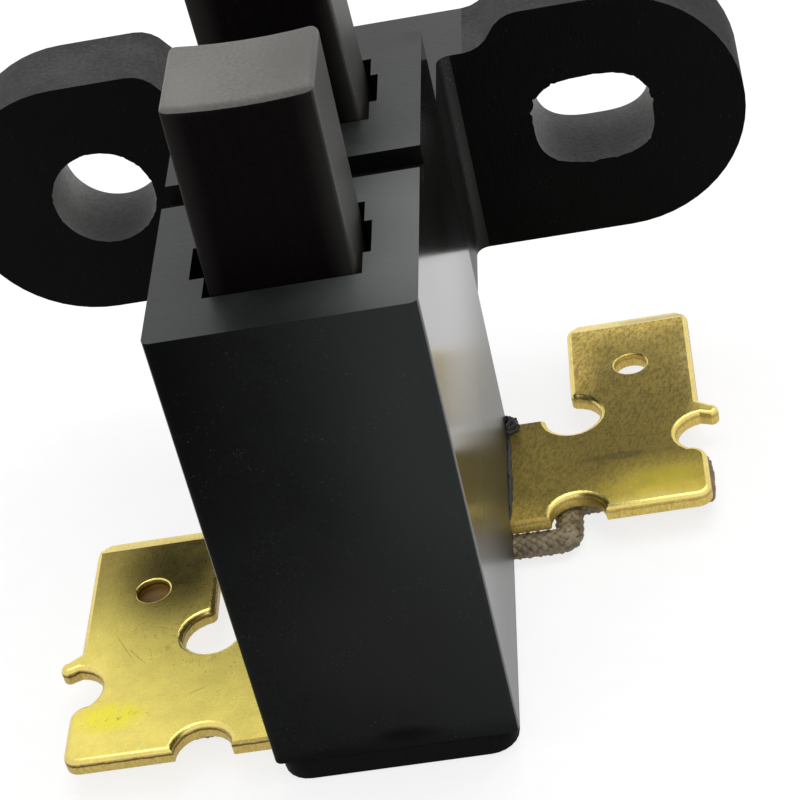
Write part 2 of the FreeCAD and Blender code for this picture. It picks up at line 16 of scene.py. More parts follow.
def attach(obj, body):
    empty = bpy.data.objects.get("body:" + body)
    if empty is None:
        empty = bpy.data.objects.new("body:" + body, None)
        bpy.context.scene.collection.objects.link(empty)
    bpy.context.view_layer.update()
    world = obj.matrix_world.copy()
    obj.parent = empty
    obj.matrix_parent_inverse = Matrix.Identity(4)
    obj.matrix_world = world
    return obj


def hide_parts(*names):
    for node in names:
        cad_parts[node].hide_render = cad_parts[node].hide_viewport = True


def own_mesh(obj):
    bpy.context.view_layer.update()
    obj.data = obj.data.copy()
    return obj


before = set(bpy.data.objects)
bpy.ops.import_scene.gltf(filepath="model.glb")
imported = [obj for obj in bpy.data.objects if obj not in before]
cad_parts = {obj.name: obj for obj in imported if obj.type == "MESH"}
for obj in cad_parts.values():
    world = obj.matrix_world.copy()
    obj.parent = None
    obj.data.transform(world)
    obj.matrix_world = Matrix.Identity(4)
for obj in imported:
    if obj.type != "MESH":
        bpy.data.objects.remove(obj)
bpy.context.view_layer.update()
MM = 0.001

# %% [markdown]
# ## Camera
# The photograph was taken close by with a long lens, from above and a little to the right.
# A camera could be turned by hand until it looks right. Here its place, its view line and its
# right-hand direction come from a fit to the body's edges, so that every corner falls where the
# photograph has it. The shift moves the picture without changing the perspective.

# %% Make the camera
camera_data = bpy.data.cameras.new("photo_camera")
camera = bpy.data.objects.new("photo_camera", camera_data)
bpy.context.collection.objects.link(camera)
eye = Vector((16.68, -111.62, 63.27))
look = Vector((-0.1162, 0.79, -0.602)).normalized()
right = Vector((0.9822, 0.0014, -0.1878))
right = (right - look * right.dot(look)).normalized()
up = right.cross(look)
turn = Matrix((right, up, -look)).transposed().to_4x4()
camera.matrix_world = Matrix.Translation(eye * MM) @ turn
camera_data.sensor_width = 36
camera_data.lens = 114.88
camera_data.shift_x = -0.0442
camera_data.shift_y = 0.0594
camera_data.clip_start = 0.005
bpy.context.scene.camera = camera
print("lens", camera_data.lens)

# %% [markdown]
# ## Light
# The object stands in an even white surround. The world is plain white for the camera and for
# reflections, and weaker where it lights dull surfaces. One broad lamp overhead, a little to
# the rear, makes the tops brighter than the front, as in the photograph. Separate strengths by
# the kind of ray keep the background white without washing out the black body.

# %% Make the world and the lamp
MIDDLE = Vector((0, -16, 0))
DULL_STRENGTH = 0.55
scene = bpy.context.scene
scene.view_settings.view_transform = "Standard"
world = bpy.data.worlds.new("white_surround")
scene.world = world
world.use_nodes = True
sky = world.node_tree
paths = sky.nodes.new("ShaderNodeLightPath")
seen = sky.nodes.new("ShaderNodeMath")
seen.operation = "MAXIMUM"
sky.links.new(paths.outputs["Is Camera Ray"], seen.inputs[0])
sky.links.new(paths.outputs["Is Glossy Ray"], seen.inputs[1])
through = sky.nodes.new("ShaderNodeMath")
through.operation = "MAXIMUM"
sky.links.new(seen.outputs[0], through.inputs[0])
sky.links.new(paths.outputs["Is Transmission Ray"], through.inputs[1])
level = sky.nodes.new("ShaderNodeMapRange")
level.inputs["To Min"].default_value = DULL_STRENGTH
level.inputs["To Max"].default_value = 1.0
sky.links.new(through.outputs[0], level.inputs["Value"])
sky.links.new(level.outputs[0], sky.nodes["Background"].inputs["Strength"])
sky.nodes["Background"].inputs["Color"].default_value = (1, 1, 1, 1)


def hang_lamp(name, place, power, breadth):
    """A square soft lamp at a place in millimetres, turned to the object."""
    data = bpy.data.lights.new(name, "AREA")
    data.energy = power
    data.size = breadth * MM
    lamp = bpy.data.objects.new(name, data)
    bpy.context.collection.objects.link(lamp)
    aim = (MIDDLE - Vector(place)).to_track_quat("-Z", "Y")
    lamp.matrix_world = Matrix.Translation(Vector(place) * MM) @ aim.to_matrix().to_4x4()
    return lamp


overhead = hang_lamp("overhead_lamp", place=(90, 130, 420), power=0.9, breadth=420)
print("lamp", overhead.name, overhead.data.energy)

# %% [markdown]
# ## Shaping helpers
# Stamped and moulded parts begin as flat outlines. A pen point is extruded along straight runs
# and spun about centres for the arcs, then the outline is filled and raised to its thickness.
# A curve object could do the same, but with operators every corner stays where it is put.


# %% Draw, fill and raise an outline
MERGE = 0.002


def trace(shape, start, moves):
    """Walks an outline: a move is a point to reach, or a centre and the degrees to turn."""
    pen = shape.verts.new((start[0], start[1], 0))
    for move in moves:
        if len(move) == 2:
            pen = bmesh.ops.extrude_vert_indiv(shape, verts=[pen])["verts"][0]
            pen.co = (move[0], move[1], 0)
            continue
        centre = Vector((move[0], move[1], 0))
        reach = (pen.co - centre).length
        steps = max(4, int(abs(move[2]) * (3 + reach) / 60))
        spun = bmesh.ops.spin(shape, geom=[pen], cent=centre, axis=(0, 0, 1),
                              angle=math.radians(move[2]), steps=steps, use_merge=False)
        pen = [part for part in spun["geom_last"] if isinstance(part, bmesh.types.BMVert)][0]
    bmesh.ops.remove_doubles(shape, verts=shape.verts[:], dist=MERGE)


def add_ring(shape, x, y, radius, steps):
    """A closed circle in the outline's plane, such as a hole."""
    bmesh.ops.create_circle(shape, cap_ends=False, radius=radius, segments=steps,
                            matrix=Matrix.Translation((x, y, 0)))


def raise_plate(shape, height):
    """Fills the outlines, holes left open, and extrudes them upwards."""
    bmesh.ops.triangle_fill(shape, use_beauty=True, use_dissolve=False, edges=shape.edges[:],
                            normal=(0, 0, 1))
    made = bmesh.ops.extrude_face_region(shape, geom=shape.faces[:])
    lifted = [part for part in made["geom"] if isinstance(part, bmesh.types.BMVert)]
    bmesh.ops.translate(shape, verts=lifted, vec=(0, 0, height))
    bmesh.ops.recalc_face_normals(shape, faces=shape.faces[:])


def add_block(shape, low, high):
    """A box between two corners."""
    low, high = Vector(low), Vector(high)
    size = high - low
    place = Matrix.Translation((low + high) / 2) @ Matrix.Diagonal((*size, 1))
    bmesh.ops.create_cube(shape, size=1, matrix=place)


def stand_up(shape):
    """Turns a flat plate so that its height runs to the front and its Y runs up."""
    turned = Matrix.Rotation(math.radians(90), 4, "X")
    bmesh.ops.transform(shape, matrix=turned, verts=shape.verts[:])


test_shape = bmesh.new()
trace(test_shape, (0, 0), [(2, 0), (2, 1, 90), (3, 3), (0, 3), (0, 0)])
print("a traced outline has", len(test_shape.verts), "points, first arc ends at x",
      round(max(v.co.x for v in test_shape.verts), 2))
test_shape.free()

# %% [markdown]
# Solids that meet are joined and cut with exact boolean modifiers, which are then applied.
# Sharp outward edges get a small bevel, because no moulded or stamped edge is truly sharp. The
# bevel is done in the mesh and not by a modifier, so that its faces can get their own finish.


# %% Join, cut and soften
def to_object(name, shape):
    mesh = bpy.data.meshes.new(name)
    shape.to_mesh(mesh)
    shape.free()
    made = bpy.data.objects.new(name, mesh)
    bpy.context.collection.objects.link(made)
    return made


def combine(target, tools, action):
    """Joins tools to the target or cuts them from it, and removes the tools."""
    for tool in tools:
        step = target.modifiers.new("step", "BOOLEAN")
        step.operation = action
        step.solver = "EXACT"
        step.object = tool
    view = bpy.context.evaluated_depsgraph_get()
    target_mesh = bpy.data.meshes.new_from_object(target.evaluated_get(view))
    target.modifiers.clear()
    target.data = target_mesh
    for tool in tools:
        bpy.data.objects.remove(tool)


def put_in_order(shape):
    """Sorts a mesh by place, because a boolean can leave its parts in another order each run."""
    row, layer = 41.3, 1711.7

    def rank(spot):
        return round(spot.x, 3) + row * round(spot.y, 3) + layer * round(spot.z, 3)

    shape.verts.sort(key=lambda vertex: rank(vertex.co))
    shape.edges.sort(key=lambda edge: rank((edge.verts[0].co + edge.verts[1].co) / 2))
    shape.faces.sort(key=lambda face: rank(face.calc_center_median()))


def take_shape(thing):
    """The object's mesh as a bmesh again, with flat neighbours joined; the object goes."""
    shape = bmesh.new()
    shape.from_mesh(thing.data)
    bpy.data.objects.remove(thing)
    bmesh.ops.remove_doubles(shape, verts=shape.verts[:], dist=MERGE)
    put_in_order(shape)
    bmesh.ops.dissolve_limit(shape, angle_limit=math.radians(0.5), verts=shape.verts[:],
                             edges=shape.edges[:], delimit={"NORMAL"})
    put_in_order(shape)
    return shape


def soften(shape, width, steps, angle, keep=None, material=-1):
    """Bevels the outward edges that turn more than the angle."""
    limit = math.radians(angle)
    sharp = [edge for edge in shape.edges
             if edge.is_manifold and edge.is_convex and edge.calc_face_angle(0) > limit
             and (keep is None or keep((edge.verts[0].co + edge.verts[1].co) / 2))]
    bmesh.ops.bevel(shape, geom=sharp, offset=width, offset_type="OFFSET", segments=steps,
                    profile=0.5, affect="EDGES", material=material, clamp_overlap=True)
    return len(sharp)


BIG_FACE = 8


def place_piece(name, shape, body, node, finishes, smooth=35):
    """Scales a shape to metres and hands it over; faces past BIG_FACE in mm2 are shaded flat."""
    bmesh.ops.scale(shape, vec=(MM, MM, MM), verts=shape.verts[:])
    piece = to_object(name, shape)
    for finish in finishes:
        piece.data.materials.append(finish)
    piece.data.shade_smooth()
    piece.data.set_sharp_from_angle(angle=math.radians(smooth))
    for face in piece.data.polygons:
        face.use_smooth = face.area < BIG_FACE * MM * MM
    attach(piece, body)
    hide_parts(node)
    print(name, len(piece.data.polygons), "faces")
    return piece


# %% [markdown]
# ## Finishes
# Every finish starts from the Principled shader. Patterns are read in millimetres from the
# object coordinates, so that they keep their real size on every piece. Painted images could do
# it too, but noise and soft ellipses stay sharp at any distance and need no unwrapping.


# %% Node helpers
def start_finish(name, rough, metal=0.0, sheen=0.5):
    """A new material: its node tree, its shader and its coordinates in millimetres."""
    finish = bpy.data.materials.new(name)
    finish.use_nodes = True
    tree = finish.node_tree
    shader = tree.nodes["Principled BSDF"]
    shader.inputs["Roughness"].default_value = rough
    shader.inputs["Metallic"].default_value = metal
    shader.inputs["Specular IOR Level"].default_value = sheen
    coords = tree.nodes.new("ShaderNodeTexCoord")
    scaled = tree.nodes.new("ShaderNodeMapping")
    scaled.inputs["Scale"].default_value = (1000, 1000, 1000)
    tree.links.new(coords.outputs["Object"], scaled.inputs["Vector"])
    return finish, tree, shader, scaled.outputs["Vector"]


def speckle(tree, where, size, detail=4, rough=0.55, stretch=(1, 1, 1), turned=(0, 0, 0)):
    """Noise with features of the given size in millimetres."""
    placed = tree.nodes.new("ShaderNodeMapping")
    placed.vector_type = "TEXTURE"
    placed.inputs["Scale"].default_value = [1 / share for share in stretch]
    placed.inputs["Rotation"].default_value = turned
    tree.links.new(where, placed.inputs["Vector"])
    cloud = tree.nodes.new("ShaderNodeTexNoise")
    cloud.inputs["Scale"].default_value = 1 / size
    cloud.inputs["Detail"].default_value = detail
    cloud.inputs["Roughness"].default_value = rough
    tree.links.new(placed.outputs["Vector"], cloud.inputs["Vector"])
    return cloud.outputs["Fac"]


def spread(tree, value, low, high, to_low=0.0, to_high=1.0):
    """Maps a range of a value to another range, clamped, with soft ends."""
    ranged = tree.nodes.new("ShaderNodeMapRange")
    ranged.interpolation_type = "SMOOTHSTEP"
    ranged.inputs["From Min"].default_value = low
    ranged.inputs["From Max"].default_value = high
    ranged.inputs["To Min"].default_value = to_low
    ranged.inputs["To Max"].default_value = to_high
    tree.links.new(value, ranged.inputs["Value"])
    return ranged.outputs["Result"]


def calc(tree, action, first, second):
    """One arithmetic step on two values or numbers."""
    step = tree.nodes.new("ShaderNodeMath")
    step.operation = action
    for socket, value in zip(step.inputs, (first, second)):
        if isinstance(value, (int, float)):
            socket.default_value = value
        else:
            tree.links.new(value, socket)
    return step.outputs[0]


def tint(tree, share, first, second):
    """Blends two colours or colour outputs by a share from 0 to 1."""
    blend = tree.nodes.new("ShaderNodeMix")
    blend.data_type = "RGBA"
    tree.links.new(share, blend.inputs["Factor"])
    for socket, colour in zip((blend.inputs["A"], blend.inputs["B"]), (first, second)):
        if isinstance(colour, tuple):
            socket.default_value = (*colour, 1)
        else:
            tree.links.new(colour, socket)
    return blend.outputs["Result"]


def emboss(tree, shader, height, depth):
    """Turns a height value into a bump of the given depth in millimetres."""
    bump = tree.nodes.new("ShaderNodeBump")
    bump.inputs["Strength"].default_value = 1.0
    bump.inputs["Distance"].default_value = depth * MM
    tree.links.new(height, bump.inputs["Height"])
    tree.links.new(bump.outputs["Normal"], shader.inputs["Normal"])


def axis_value(tree, where, axis):
    """One coordinate in millimetres."""
    parts = tree.nodes.new("ShaderNodeSeparateXYZ")
    tree.links.new(where, parts.inputs["Vector"])
    return parts.outputs[axis]


def patch(tree, where, centre, reach, edge=0.4, turned=0.0):
    """1 inside an ellipse about a point, turned about Z, 0 outside, with a soft edge."""
    moved = tree.nodes.new("ShaderNodeMapping")
    moved.vector_type = "TEXTURE"
    moved.inputs["Location"].default_value = centre
    moved.inputs["Rotation"].default_value = (0, 0, math.radians(turned))
    moved.inputs["Scale"].default_value = reach
    tree.links.new(where, moved.inputs["Vector"])
    away = tree.nodes.new("ShaderNodeVectorMath")
    away.operation = "LENGTH"
    tree.links.new(moved.outputs["Vector"], away.inputs[0])
    return spread(tree, away.outputs["Value"], 1 - edge, 1, 1, 0)


print("node helpers ready")

# %% [markdown]
# ## Black moulding compound
# The body is pressed from black phenolic. Its skin differs from wall to wall: the front is dull and
# almost black, the side walls are glossy, the top has a dusty grey bloom, and the cut rims of the flange
# are rough and speckled. One finish for all would look like painted plastic, so each wall gets its own,
# made by one function with a shared pattern and its own tinted zones. Most of the zones are painted light
# and shade, the hole walls are painted light and shade throughout, and the channel and groove walls are
# painted shade.


# %% Phenolic finishes
DUST = (0.22, 0.22, 0.21)


def add_zones(tree, where, colour, zones, ragged=None):
    """Tints soft ellipses: each zone is a centre, its reach, a colour and how strongly it shows."""
    for centre, reach, shade, share in zones:
        spot = calc(tree, "MULTIPLY", patch(tree, where, centre, reach, 0.85), share)
        if ragged:
            spot = calc(tree, "MULTIPLY", spot, ragged)
        colour = tint(tree, spot, colour, shade)
    return colour


def phenolic(name, dark, light, rough, sheen, dust=0.0, relief=0.01, zones=(), grain=(1, 1, 1)):
    """Black moulding with a cloudy bloom, a fine grain, a little dust and tinted zones, mostly painted
    light and shade.
    """
    finish, tree, shader, where = start_finish(name, rough, 0.0, sheen)
    cloud = speckle(tree, where, 4.0, 5)
    fine = speckle(tree, where, 0.22, 5, 0.65, grain)
    share = calc(tree, "ADD", calc(tree, "MULTIPLY", cloud, 0.6), calc(tree, "MULTIPLY", fine, 0.4))
    colour = tint(tree, spread(tree, share, 0.34, 0.66), dark, light)
    colour = add_zones(tree, where, colour, zones)
    if dust:
        specks = spread(tree, speckle(tree, where, 0.09, 2, 0.5), 0.66, 0.72)
        sparse = spread(tree, speckle(tree, where, 1.6, 2, 0.5), 0.48, 0.66)
        dots = calc(tree, "MULTIPLY", calc(tree, "MULTIPLY", specks, sparse), dust)
        colour = tint(tree, dots, colour, DUST)
    tree.links.new(colour, shader.inputs["Base Color"])
    scuffed = spread(tree, cloud, 0.3, 0.7, rough - 0.04, rough + 0.06)
    tree.links.new(scuffed, shader.inputs["Roughness"])
    emboss(tree, shader, fine, relief)
    return finish


# The side walls are near black; a lighter bluish patch low on the right-hand wall is a painted
# reflection.
wall_finish = phenolic("phenolic_side", (0.008, 0.008, 0.007), (0.016, 0.016, 0.014), 0.15, 0.75,
                       relief=0.0012, zones=[((5.5, -18, -1), (2, 9, 5), (0.052, 0.058, 0.061), 0.7)])
wall_tree = wall_finish.node_tree
wall_height = axis_value(wall_tree, wall_tree.nodes["Mapping"].outputs["Vector"], "Z")
wall_tree.links.new(spread(wall_tree, wall_height, -13, 4, 0.36, 0.16),
                    wall_tree.nodes["Principled BSDF"].inputs["Roughness"])
# The front is lighter towards the right and low in the middle and darker at the upper left, as painted
# light and shade. Two dark smudges lie along the bottom edge at the joint with the cover, and the face is
# darker along that edge.
front_finish = phenolic("phenolic_front", (0.014, 0.0145, 0.0145), (0.021, 0.0225, 0.022), 0.5, 0.02,
                        dust=0.25, zones=[
                            ((5.5, -31, 3), (7, 4, 26), (0.058, 0.065, 0.064), 0.9),
                            ((1.5, -31, -8), (7, 4, 8), (0.036, 0.037, 0.036), 0.75),
                            ((-6.5, -31, 8), (6.5, 4, 16), (0.0035, 0.0035, 0.0037), 0.9),
                            ((0.6, -31, -13.6), (2.0, 2, 0.7), (0.003, 0.003, 0.003), 0.85),
                            ((-3, -31, -14.2), (3.4, 2, 0.5), (0.003, 0.003, 0.003), 0.85),
                            ((0, -31, -14.6), (12, 2, 1.6), (0.012, 0.012, 0.012), 0.8)])
# On the top, the lighter patch at the front right is a painted highlight, the darker rear and the darker
# saddle are painted shade, and the dark strip in front of the front brush is a painted reflection of the
# brush. A small dark spot sits at the rear right corner.
top_finish = phenolic("phenolic_top", (0.015, 0.0172, 0.0168), (0.029, 0.0318, 0.031), 0.4, 0.38,
                      dust=0.3, zones=[
                          ((5.0, -26, 8.9), (6, 9, 3), (0.145, 0.160, 0.156), 0.8),
                          ((0, -9, 8.9), (12, 8, 3), (0.011, 0.012, 0.0115), 0.9),
                          ((0, -2.5, 4.65), (10, 7, 2), (0.009, 0.0095, 0.0095), 0.7),
                          ((-1.5, -31.2, 8.9), (4.5, 2.4, 3), (0.010, 0.012, 0.013), 0.85),
                          ((5.1, -9.9, 8.9), (0.9, 1.1, 3), (0.006, 0.006, 0.006), 0.9)])
ear_finish = phenolic("phenolic_ear", (0.0022, 0.0023, 0.0025), (0.005, 0.0052, 0.0052), 0.5, 0.05,
                      dust=0.35, relief=0.02, grain=(3, 3, 0.25))
# The cut rims are lighter and speckled; the dark zone over the right-hand ear's rims is painted shade.
rim_finish = phenolic("phenolic_rim", (0.034, 0.032, 0.033), (0.086, 0.083, 0.084), 0.6, 0.08,
                      dust=0.7, relief=0.05, zones=[
                          ((21.5, -2, 0), (11, 10, 11), (0.004, 0.004, 0.004), 1.0)])
# The walls of the round hole and the slot carry painted light, a light grey, and their lower half is
# painted shade.
bore_painted_light = phenolic("phenolic_bore_painted_light_and_shade", (0.25, 0.25, 0.245), (0.50, 0.50, 0.49), 0.5, 0.08,
                       dust=0.6, relief=0.05, zones=[
                           ((0, -2.2, -3.1), (40, 12, 2.9), (0.026, 0.027, 0.027), 1.0)])
# The narrow light streak where the neck meets the right-hand ear is a painted highlight on the fillet.
neck_finish = phenolic("phenolic_neck", (0.009, 0.0095, 0.009), (0.018, 0.0195, 0.018), 0.35, 0.12,
                       dust=0.9, relief=0.004, zones=[
                           ((5.75, -4.6, 0), (0.4, 0.5, 9), (0.045, 0.047, 0.045), 0.9)])
cover_finish = phenolic("phenolic_cover", (0.008, 0.008, 0.008), (0.013, 0.013, 0.013), 0.5, 0.02,
                        relief=0.03)
# The channel and groove walls get a near-black copy of the moulding, as painted shade in the recesses.
recess_shade_finish = phenolic("phenolic_inner_painted_shade", (0.002, 0.002, 0.002), (0.004, 0.004, 0.004), 0.7, 0.1)
print("phenolic finishes made")

# %% [markdown]
# ## Holder body
# The raised block, the lower neck and the dog-bone flange are one moulding. The block is an
# outline with the two brush channels left open, so the channels need no cutting. The flange is
# traced with its round hole and its slot. Booleans join the three and cut the cross groove and
# the terminals' recesses, because such cuts run across several of the joined forms.

# %% Block with its channels
SEAM, TOP = -14.3, 8.9
FRONT, REAR = -31.0, -9.5
HALF, CORNER = 5.5, 0.35
BRUSH_Y = {"front": -25.8, "rear": -14.0}
CHANNEL_X, CHANNEL_Y, NOTCH = 3.24, 2.62, 1.15
LEFT_NOTCH_X, RIGHT_NOTCH_X = -3.87, 3.57


def channel_outline(shape, middle):
    """The rectangle round a brush with a notch in each side wall, the left one deeper."""
    corners = [(CHANNEL_X, -CHANNEL_Y), (CHANNEL_X, -NOTCH), (RIGHT_NOTCH_X, -NOTCH),
               (RIGHT_NOTCH_X, NOTCH), (CHANNEL_X, NOTCH), (CHANNEL_X, CHANNEL_Y),
               (-CHANNEL_X, CHANNEL_Y), (-CHANNEL_X, NOTCH), (LEFT_NOTCH_X, NOTCH),
               (LEFT_NOTCH_X, -NOTCH), (-CHANNEL_X, -NOTCH), (-CHANNEL_X, -CHANNEL_Y)]
    placed = [(x, middle + y) for x, y in corners]
    trace(shape, placed[0], placed[1:] + placed[:1])


def round_outline(shape, half, front, rear, radius):
    """A rectangle across the middle with four round corners."""
    trace(shape, (-half + radius, front), [
        (half - radius, front), (half - radius, front + radius, 90),
        (half, rear - radius), (half - radius, rear - radius, 90),
        (-half + radius, rear), (-half + radius, rear - radius, 90),
        (-half, front + radius), (-half + radius, front + radius, 90)])


block = bmesh.new()
round_outline(block, HALF, FRONT, REAR, CORNER)
for middle in BRUSH_Y.values():
    channel_outline(block, middle)
raise_plate(block, TOP - SEAM)
bmesh.ops.translate(block, verts=block.verts[:], vec=(0, 0, SEAM))
print("block faces", len(block.faces))

# %% Flange with its round hole and slot
FLANGE = 4.5
EAR, EAR_X = 6.35, 13.2
SADDLE, SADDLE_X, SHOULDER_X = 4.65, 6.6, 9.5
HOLE_X, HOLE_RADIUS = 12.2, 2.55
SLOT_HALVES, SLOT_SQUARENESS = (2.9, 2.35), 0.7
run, rise = (SHOULDER_X - SADDLE_X) / 2, (EAR - SADDLE) / 2
bend = (run * run + rise * rise) / (2 * rise)
swing = math.degrees(math.asin(run / bend))
flange = bmesh.new()
trace(flange, (-EAR_X, -EAR), [
    (EAR_X, -EAR), (EAR_X, 0, 180), (SHOULDER_X, EAR), (SHOULDER_X, EAR - bend, swing),
    (SADDLE_X, SADDLE + bend, -swing), (-SADDLE_X, SADDLE),
    (-SADDLE_X, SADDLE + bend, -swing), (-SHOULDER_X, EAR - bend, swing), (-EAR_X, EAR),
    (-EAR_X, 0, 180)])
add_ring(flange, -HOLE_X, 0, HOLE_RADIUS, 110)
slot_ring = bmesh.ops.create_circle(flange, cap_ends=False, radius=1, segments=120)["verts"]
for vertex in slot_ring:
    for axis, half in enumerate(SLOT_HALVES):
        reach = abs(vertex.co[axis]) ** SLOT_SQUARENESS
        vertex.co[axis] = math.copysign(reach * half, vertex.co[axis])
bmesh.ops.translate(flange, verts=slot_ring, vec=(HOLE_X, 0, 0))
raise_plate(flange, FLANGE)
stand_up(flange)
print("flange faces", len(flange.faces))

# %% Join the moulding and cut the groove and the terminal recesses
NECK_HALF, LAP = 5.35, 0.6
FILLET, FILLET_LAP = 0.65, 0.1
GROOVE_FRONT, GROOVE_REAR, GROOVE_DEPTH = FRONT + 9.8, FRONT + 11.55, 0.9
TERMINAL_FRONT = {"left": -29.98, "right": -17.53}
ROOT_X, ROOT_LENGTH, SHEET, PLAY = 3.7, 7.5, 0.8, 0.05
neck = bmesh.new()
add_block(neck, (-NECK_HALF, REAR - LAP, -EAR), (NECK_HALF, -FLANGE + LAP, SADDLE))
fillets = []
for side in (-1, 1):
    fillet = bmesh.new()
    edge, reach = NECK_HALF * side, FILLET * side
    start, behind = -FLANGE - FILLET, -FLANGE + FILLET_LAP
    trace(fillet, (edge - reach / 2, behind), [
        (edge - reach / 2, start), (edge, start), (edge + reach, start, -90 * side),
        (edge + reach, behind), (edge - reach / 2, behind)])
    raise_plate(fillet, EAR + SADDLE)
    bmesh.ops.translate(fillet, verts=fillet.verts[:], vec=(0, 0, -EAR))
    fillets.append(to_object("fillet", fillet))
cuts = []
for name, low, high in [
        ("groove", (-7, GROOVE_FRONT, TOP - GROOVE_DEPTH), (7, GROOVE_REAR, TOP + 1)),
        ("left_recess", (-7, TERMINAL_FRONT["left"] - PLAY, SEAM - 1),
         (-ROOT_X + PLAY, TERMINAL_FRONT["left"] + ROOT_LENGTH + PLAY, SEAM + SHEET + PLAY)),
        ("right_recess", (ROOT_X - PLAY, TERMINAL_FRONT["right"] - PLAY, SEAM - 1),
         (7, TERMINAL_FRONT["right"] + ROOT_LENGTH + PLAY, SEAM + SHEET + PLAY))]:
    cutter = bmesh.new()
    add_block(cutter, low, high)
    cuts.append(to_object(name, cutter))
body_object = to_object("holder_shape", block)
combine(body_object, [to_object("neck", neck), to_object("flange", flange)] + fillets, "UNION")
combine(body_object, cuts, "DIFFERENCE")
moulding = take_shape(body_object)
print("moulding faces", len(moulding.faces), "softened edges", soften(moulding, 0.13, 3, 40))

# %% Chip the front rims of the two holes
CHIP = {-1: 0.06, 1: 0.12}
deepest = 0
for vertex in moulding.verts:
    side = 1 if vertex.co.x > 0 else -1
    away = Vector((vertex.co.x - HOLE_X * side, vertex.co.z))
    if vertex.co.y < -FLANGE + 0.16 and 2 < away.length < 3.5:
        chip = max(noise.noise(vertex.co * 3.1) + noise.noise(vertex.co * 7) * 0.7, 0) * CHIP[side]
        deepest = max(deepest, chip)
        vertex.co.x += away.x / away.length * chip
        vertex.co.z += away.y / away.length * chip
print("rims chipped by up to", round(deepest, 2), "mm")

# %% Give each wall its finish
WALLS = {"side": wall_finish, "front": front_finish, "top": top_finish, "ear": ear_finish,
         "rim": rim_finish, "bore": bore_painted_light, "inner": recess_shade_finish, "neck": neck_finish}
SLOT_STRAIGHT = SLOT_HALVES[0] - SLOT_HALVES[1]
moulding.normal_update()
for face in moulding.faces:
    spot, way = face.calc_center_median(), face.normal
    in_ear = spot.y > -FLANGE - 0.3 and abs(spot.x) > 5.6
    to_hole = min(math.hypot(spot.x + HOLE_X, spot.z),
                  math.hypot(max(abs(spot.x - HOLE_X) - SLOT_STRAIGHT, 0), spot.z))
    in_fillet = spot.y > -FLANGE - 1 and 5.3 < abs(spot.x) < 6.1 and abs(way.z) < 0.2
    if spot.y > -0.3 and way.y > 0.6 or in_fillet and -0.998 < way.y < -0.02:
        kind = "neck"
    elif in_ear and to_hole < 2.7 and abs(way.y) < 0.6:
        kind = "bore"
    elif spot.y > -FLANGE - 0.3 and abs(way.y) < 0.8:
        kind = "rim"
    elif in_ear:
        kind = "ear"
    elif spot.y < FRONT + 0.3 and way.y < -0.6:
        kind = "front"
    elif abs(spot.x) < 3.7 and abs(way.z) < 0.7 and spot.y < REAR:
        kind = "inner"
    elif 7.5 < spot.z < TOP - 0.15 and GROOVE_FRONT - 0.1 < spot.y < GROOVE_REAR + 0.1:
        kind = "inner"
    elif way.z > 0.5:
        kind = "top"
    elif spot.y > REAR:
        kind = "neck"
    else:
        kind = "side"
    face.material_index = list(WALLS).index(kind)
place_piece("moulded_holder", moulding, "holder", "holder_body", WALLS.values())

# %% [markdown]
# ## Bottom cover
# A thin plate with round corners closes the channels from below. Two slots let the braids out.
# The corners are part of the outline, and the slots, which bend, are cut by two boxes each.

# %% Cover plate
COVER_HALF, COVER_FRONT, COVER_REAR = 5.35, -30.95, -9.75
COVER_CORNER, COVER_SHEET = 1.3, 1.25
OUTLET_HALF, OUTLET_TURN_X, OUTLET_END_X = 0.7, 3.55, 6
cover = bmesh.new()
round_outline(cover, COVER_HALF, COVER_FRONT, COVER_REAR, COVER_CORNER)
raise_plate(cover, COVER_SHEET)
bmesh.ops.translate(cover, verts=cover.verts[:], vec=(0, 0, SEAM - COVER_SHEET))
outlets = []
for side, middle, leaves in [(-1, BRUSH_Y["front"], -27.55), (1, BRUSH_Y["rear"], -17.1)]:
    for name, inner, outer in [
            ("run", (-OUTLET_HALF, middle - OUTLET_HALF), (OUTLET_TURN_X, middle + OUTLET_HALF)),
            ("drop", (OUTLET_TURN_X, leaves - OUTLET_HALF), (OUTLET_END_X, middle + OUTLET_HALF))]:
        ends = sorted((inner[0] * side, outer[0] * side))
        cutter = bmesh.new()
        add_block(cutter, (ends[0], inner[1], SEAM - 3), (ends[1], outer[1], SEAM + 1))
        outlets.append(to_object("cover_" + name, cutter))
cover_object = to_object("cover_shape", cover)
combine(cover_object, outlets, "DIFFERENCE")
cover = take_shape(cover_object)
soften(cover, 0.12, 3, 40)
place_piece("cover_plate", cover, "holder", "bottom_cover", [cover_finish])

# %% [markdown]
# ## Carbon brushes
# Each brush is a block of copper-graphite. The rings have worn its tip hollow and bright, and the sides
# are matt and carry fine lengthwise scratches. The front face is a darker copy of the carbon as painted
# shade, and its edges and rounded corners are lighter as painted light. The worn tip is an arc of the
# block's outline, so one extrusion gives the whole form.


# %% Graphite finishes
def graphite(name, dark, light, rough, metal, sheen, scratch=0.5, zones=()):
    """Pressed graphite with fine grain, lengthwise scratches and tinted zones."""
    finish, tree, shader, where = start_finish(name, rough, metal, sheen)
    grain = speckle(tree, where, 0.14, 6, 0.7)
    lines = speckle(tree, where, 0.5, 4, 0.6, (6, 6, 0.15))
    share = calc(tree, "ADD", calc(tree, "MULTIPLY", grain, 1 - scratch),
                 calc(tree, "MULTIPLY", lines, scratch))
    colour = tint(tree, spread(tree, share, 0.36, 0.64), dark, light)
    tree.links.new(add_zones(tree, where, colour, zones), shader.inputs["Base Color"])
    emboss(tree, shader, share, 0.015)
    return finish


